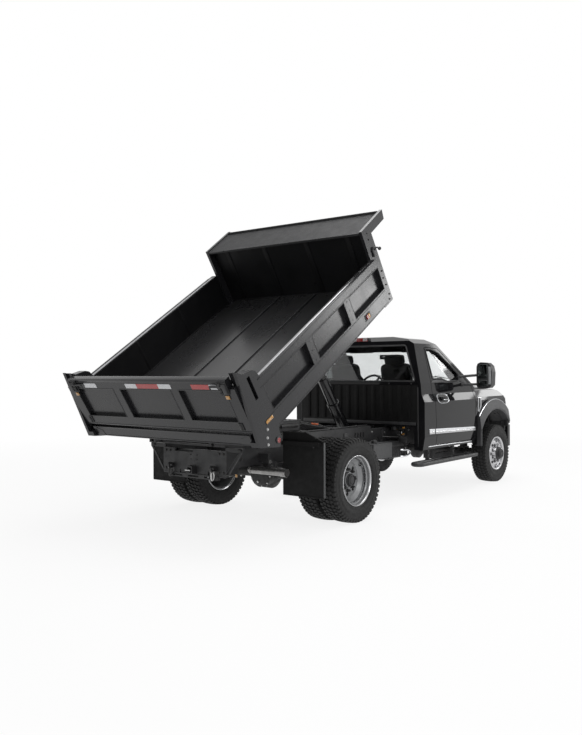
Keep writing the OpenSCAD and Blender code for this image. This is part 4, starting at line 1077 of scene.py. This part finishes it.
def swell(o, cap):
    """Swells a closed mesh with cloth pressure, and keeps each point within cap of where it was."""
    scene = bpy.context.scene
    before = [v.co.copy() for v in o.data.vertices]
    c = o.modifiers.new("cloth", "CLOTH")
    c.settings.use_pressure = True
    c.settings.uniform_pressure_force = PRESSURE
    c.settings.effector_weights.gravity = 0.0
    c.settings.quality = 5
    c.point_cache.frame_start, c.point_cache.frame_end = 1, CLOTH_FRAMES
    for k in range(1, CLOTH_FRAMES + 1):
        scene.frame_set(k)
    got = o.evaluated_get(bpy.context.evaluated_depsgraph_get())
    after = [v.co.copy() for v in got.data.vertices]
    o.modifiers.remove(c)
    scene.frame_set(1)
    for v, a, b in zip(o.data.vertices, before, after):
        d = b - a
        v.co = a + (d if d.length <= cap else d * (cap / d.length))


def cushion(name, size, place, crown, lines, cap=0.014):
    """A crowned closed pad; size in millimetres, lines are sewn channels across its face."""
    bm = bmesh.new()
    bmesh.ops.create_cube(bm, size=2.0)
    bmesh.ops.subdivide_edges(bm, edges=bm.edges[:], cuts=7, use_grid_fill=True)
    sx, sy, sz = (v / 2 for v in size)
    for v in bm.verts:
        a, b, c = v.co
        n = (abs(a) ** 6 + abs(b) ** 6 + abs(c) ** 6) ** (1 / 6)
        a, b, c = a / n, b / n, c / n
        waist = 1 - 0.035 * (1 - c * c)
        top = crown * (1 - a * a) * (1 - b * b) if c > 0 else 0.0
        v.co = Vector((a * sx * waist, b * sy * waist, c * (sz - crown * 0.4) + top)) / 1000
    me = mesh_of(bm, name)
    o = add_object(name, me)
    r = o.modifiers.new("grid", "REMESH")
    r.mode = "VOXEL"
    r.voxel_size = VOXEL
    fine = bpy.data.meshes.new_from_object(o.evaluated_get(bpy.context.evaluated_depsgraph_get()))
    o.modifiers.clear()
    o.data = fine
    bpy.data.meshes.remove(me)
    swell(o, cap)
    for v in o.data.vertices:
        x, y, z = v.co * 1000
        if z > 0:
            dip = 0.0
            for axis, at, wide, deep in lines:
                d = abs((x, y)[axis] - at)
                dip = max(dip, deep * exp(-(d / wide) ** 2))
            v.co.z -= dip / 1000 * min(1.0, z / (0.5 * sz))
        if abs(z) < 8:
            k = 1 - 0.012 * (1 - abs(z) / 8)
            v.co.x *= k
            v.co.y *= k
    for v in o.data.vertices:
        v.co = P(*(place @ (v.co * 1000)))
    o.data.shade_smooth()
    o.data.materials.append(MAT["cloth"])
    s = o.modifiers.new("round", "SUBSURF")
    s.levels = s.render_levels = 1
    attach(o, "chassis")
    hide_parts("seats")


def seats():
    for s, tag in SIDES:
        y = s * 400.0
        across = [(0, -95, 9, 9), (0, 95, 9, 9), (1, -165, 9, 10), (1, 165, 9, 10)]
        cushion("seat_cushion_" + tag, (430, 486, 150), Matrix.Translation((2372, y, 1143)), 22, across)
        lean = Matrix.Translation((2150, y, 1215)) @ Matrix.Rotation(radians(-14), 4, "Y")
        face = Matrix.Rotation(radians(90), 4, "Y")
        cushion("seat_back_" + tag, (486, 480, 118), lean @ Matrix.Translation((62, 0, 242)) @ face, 16,
                [(0, -70, 9, 8), (0, 70, 9, 8), (1, -160, 9, 9), (1, 160, 9, 9)])
        cushion("headrest_" + tag, (130, 290, 96), lean @ Matrix.Translation((55, 0, 515)) @ face, 12,
                [(1, -90, 8, 5), (1, 90, 8, 5)])
        p = Piece("seat_frame_" + tag, "zinc trim chassis")
        p.box((2168, y - 222, 930), (2572, y + 222, 1084), 14, "trim", 3)
        for d in (-200, 200):
            p.box((2140, y + d - 22, 922), (2598, y + d + 22, 944), 5)
        for d in (-75, 75):
            p.rod(lean @ Vector((60, d, 430)), lean @ Vector((56, d, 500)), 7, 12)
        p.tube([(2180, y - s * 255, 1100), (2230, y - s * 262, 1120), (2262, y - s * 262, 1190)], 11, 10, "chassis")
        p.done("seat")


doors()
cab()
seats()


# Stage, lights and camera
def floor():
    bm = bmesh.new()
    bmesh.ops.create_grid(bm, x_segments=8, y_segments=8, size=60.0)
    o = add_object("studio_floor", mesh_of(bm, "studio_floor"))
    o.location = (0, 0, -0.002)
    m, t, s = nodes_of("studio_floor")
    where = coords(t)
    dress(t, s, ramp(t, noise_tex(t, where, 0.4), "Fac", [(0.3, rgb(880)), (0.7, rgb(920))]))
    set_inputs(s, Roughness=0.9, Specular_IOR_Level=0.1)
    far = new(t, "VectorMath")
    far.operation = "LENGTH"
    link(t, where, "Vector", far, 0)
    share = new(t, "MapRange", From_Min=2.0, From_Max=11.0, To_Min=0.84, To_Max=1.0)
    link(t, far, "Value", share, "Value")
    mix = new(t, "MixShader")
    link(t, maths(t, "MULTIPLY", seen(t), "Value", share, "Result"), "Value", mix, 0)
    link(t, s, 0, mix, 1)
    link(t, new(t, "Emission"), 0, mix, 2)
    link(t, mix, 0, t.nodes["Material Output"], "Surface")
    o.data.materials.append(m)


def seen(t):
    """One for rays from the eye or a glossy surface, nought for the light that falls on things."""
    path = new(t, "LightPath")
    return maths(t, "MAXIMUM", path, "Is Camera Ray", path, "Is Glossy Ray")


def world():
    w = bpy.data.worlds.new("studio")
    bpy.context.scene.world = w
    w.use_nodes = True
    t = w.node_tree
    bg = set_inputs(t.nodes["Background"], Color=(1, 1, 1, 1))
    r = new(t, "MapRange", To_Min=0.5, To_Max=1.0)
    link(t, maths(t, "MAXIMUM", seen(t), "Value", new(t, "LightPath"), "Is Transmission Ray"), "Value", r, "Value")
    link(t, r, "Result", bg, "Strength")


def lamp(name, place, aim, size, watts):
    d = bpy.data.lights.new(name, "AREA")
    d.shape = "RECTANGLE"
    d.size, d.size_y = size
    d.energy = watts
    o = add_object(name, d)
    o.location = place
    o.rotation_euler = (Vector(aim) - Vector(place)).to_track_quat("-Z", "Y").to_euler()


floor()
world()
lamp("overhead", (0.5, -0.5, 7.5), (0.3, 0, 1.0), (7.0, 5.0), 330)
lamp("right_rear", (-5.0, -6.5, 4.2), (0, 0, 1.2), (4.0, 3.0), 110)
lamp("right_front", (8.82, -2.95, 3.9), (1.7, -0.98, 1.25), (2.6, 0.8), 30)
lamp("bed_front", (6.1, -5.5, 3.0), (0, -1.2, 2.0), (2.4, 1.2), 75)

cam = bpy.data.cameras.new("camera")
cam.sensor_width = 36.0
cam.lens = LENS
cam.clip_end = 300
eye = add_object("camera", cam)
ahead = Vector((cos(YAW) * cos(PITCH), sin(YAW) * cos(PITCH), sin(PITCH)))
across = ahead.cross(Vector((0, 0, 1))).normalized()
above = across.cross(ahead)
right = across * cos(ROLL) + above * sin(ROLL)
up = above * cos(ROLL) - across * sin(ROLL)
turn = Matrix((right, up, -ahead)).transposed().to_4x4()
eye.matrix_world = Matrix.Translation(P(*EYE)) @ turn
bpy.context.scene.camera = eye
bpy.context.scene.view_settings.view_transform = "Standard"
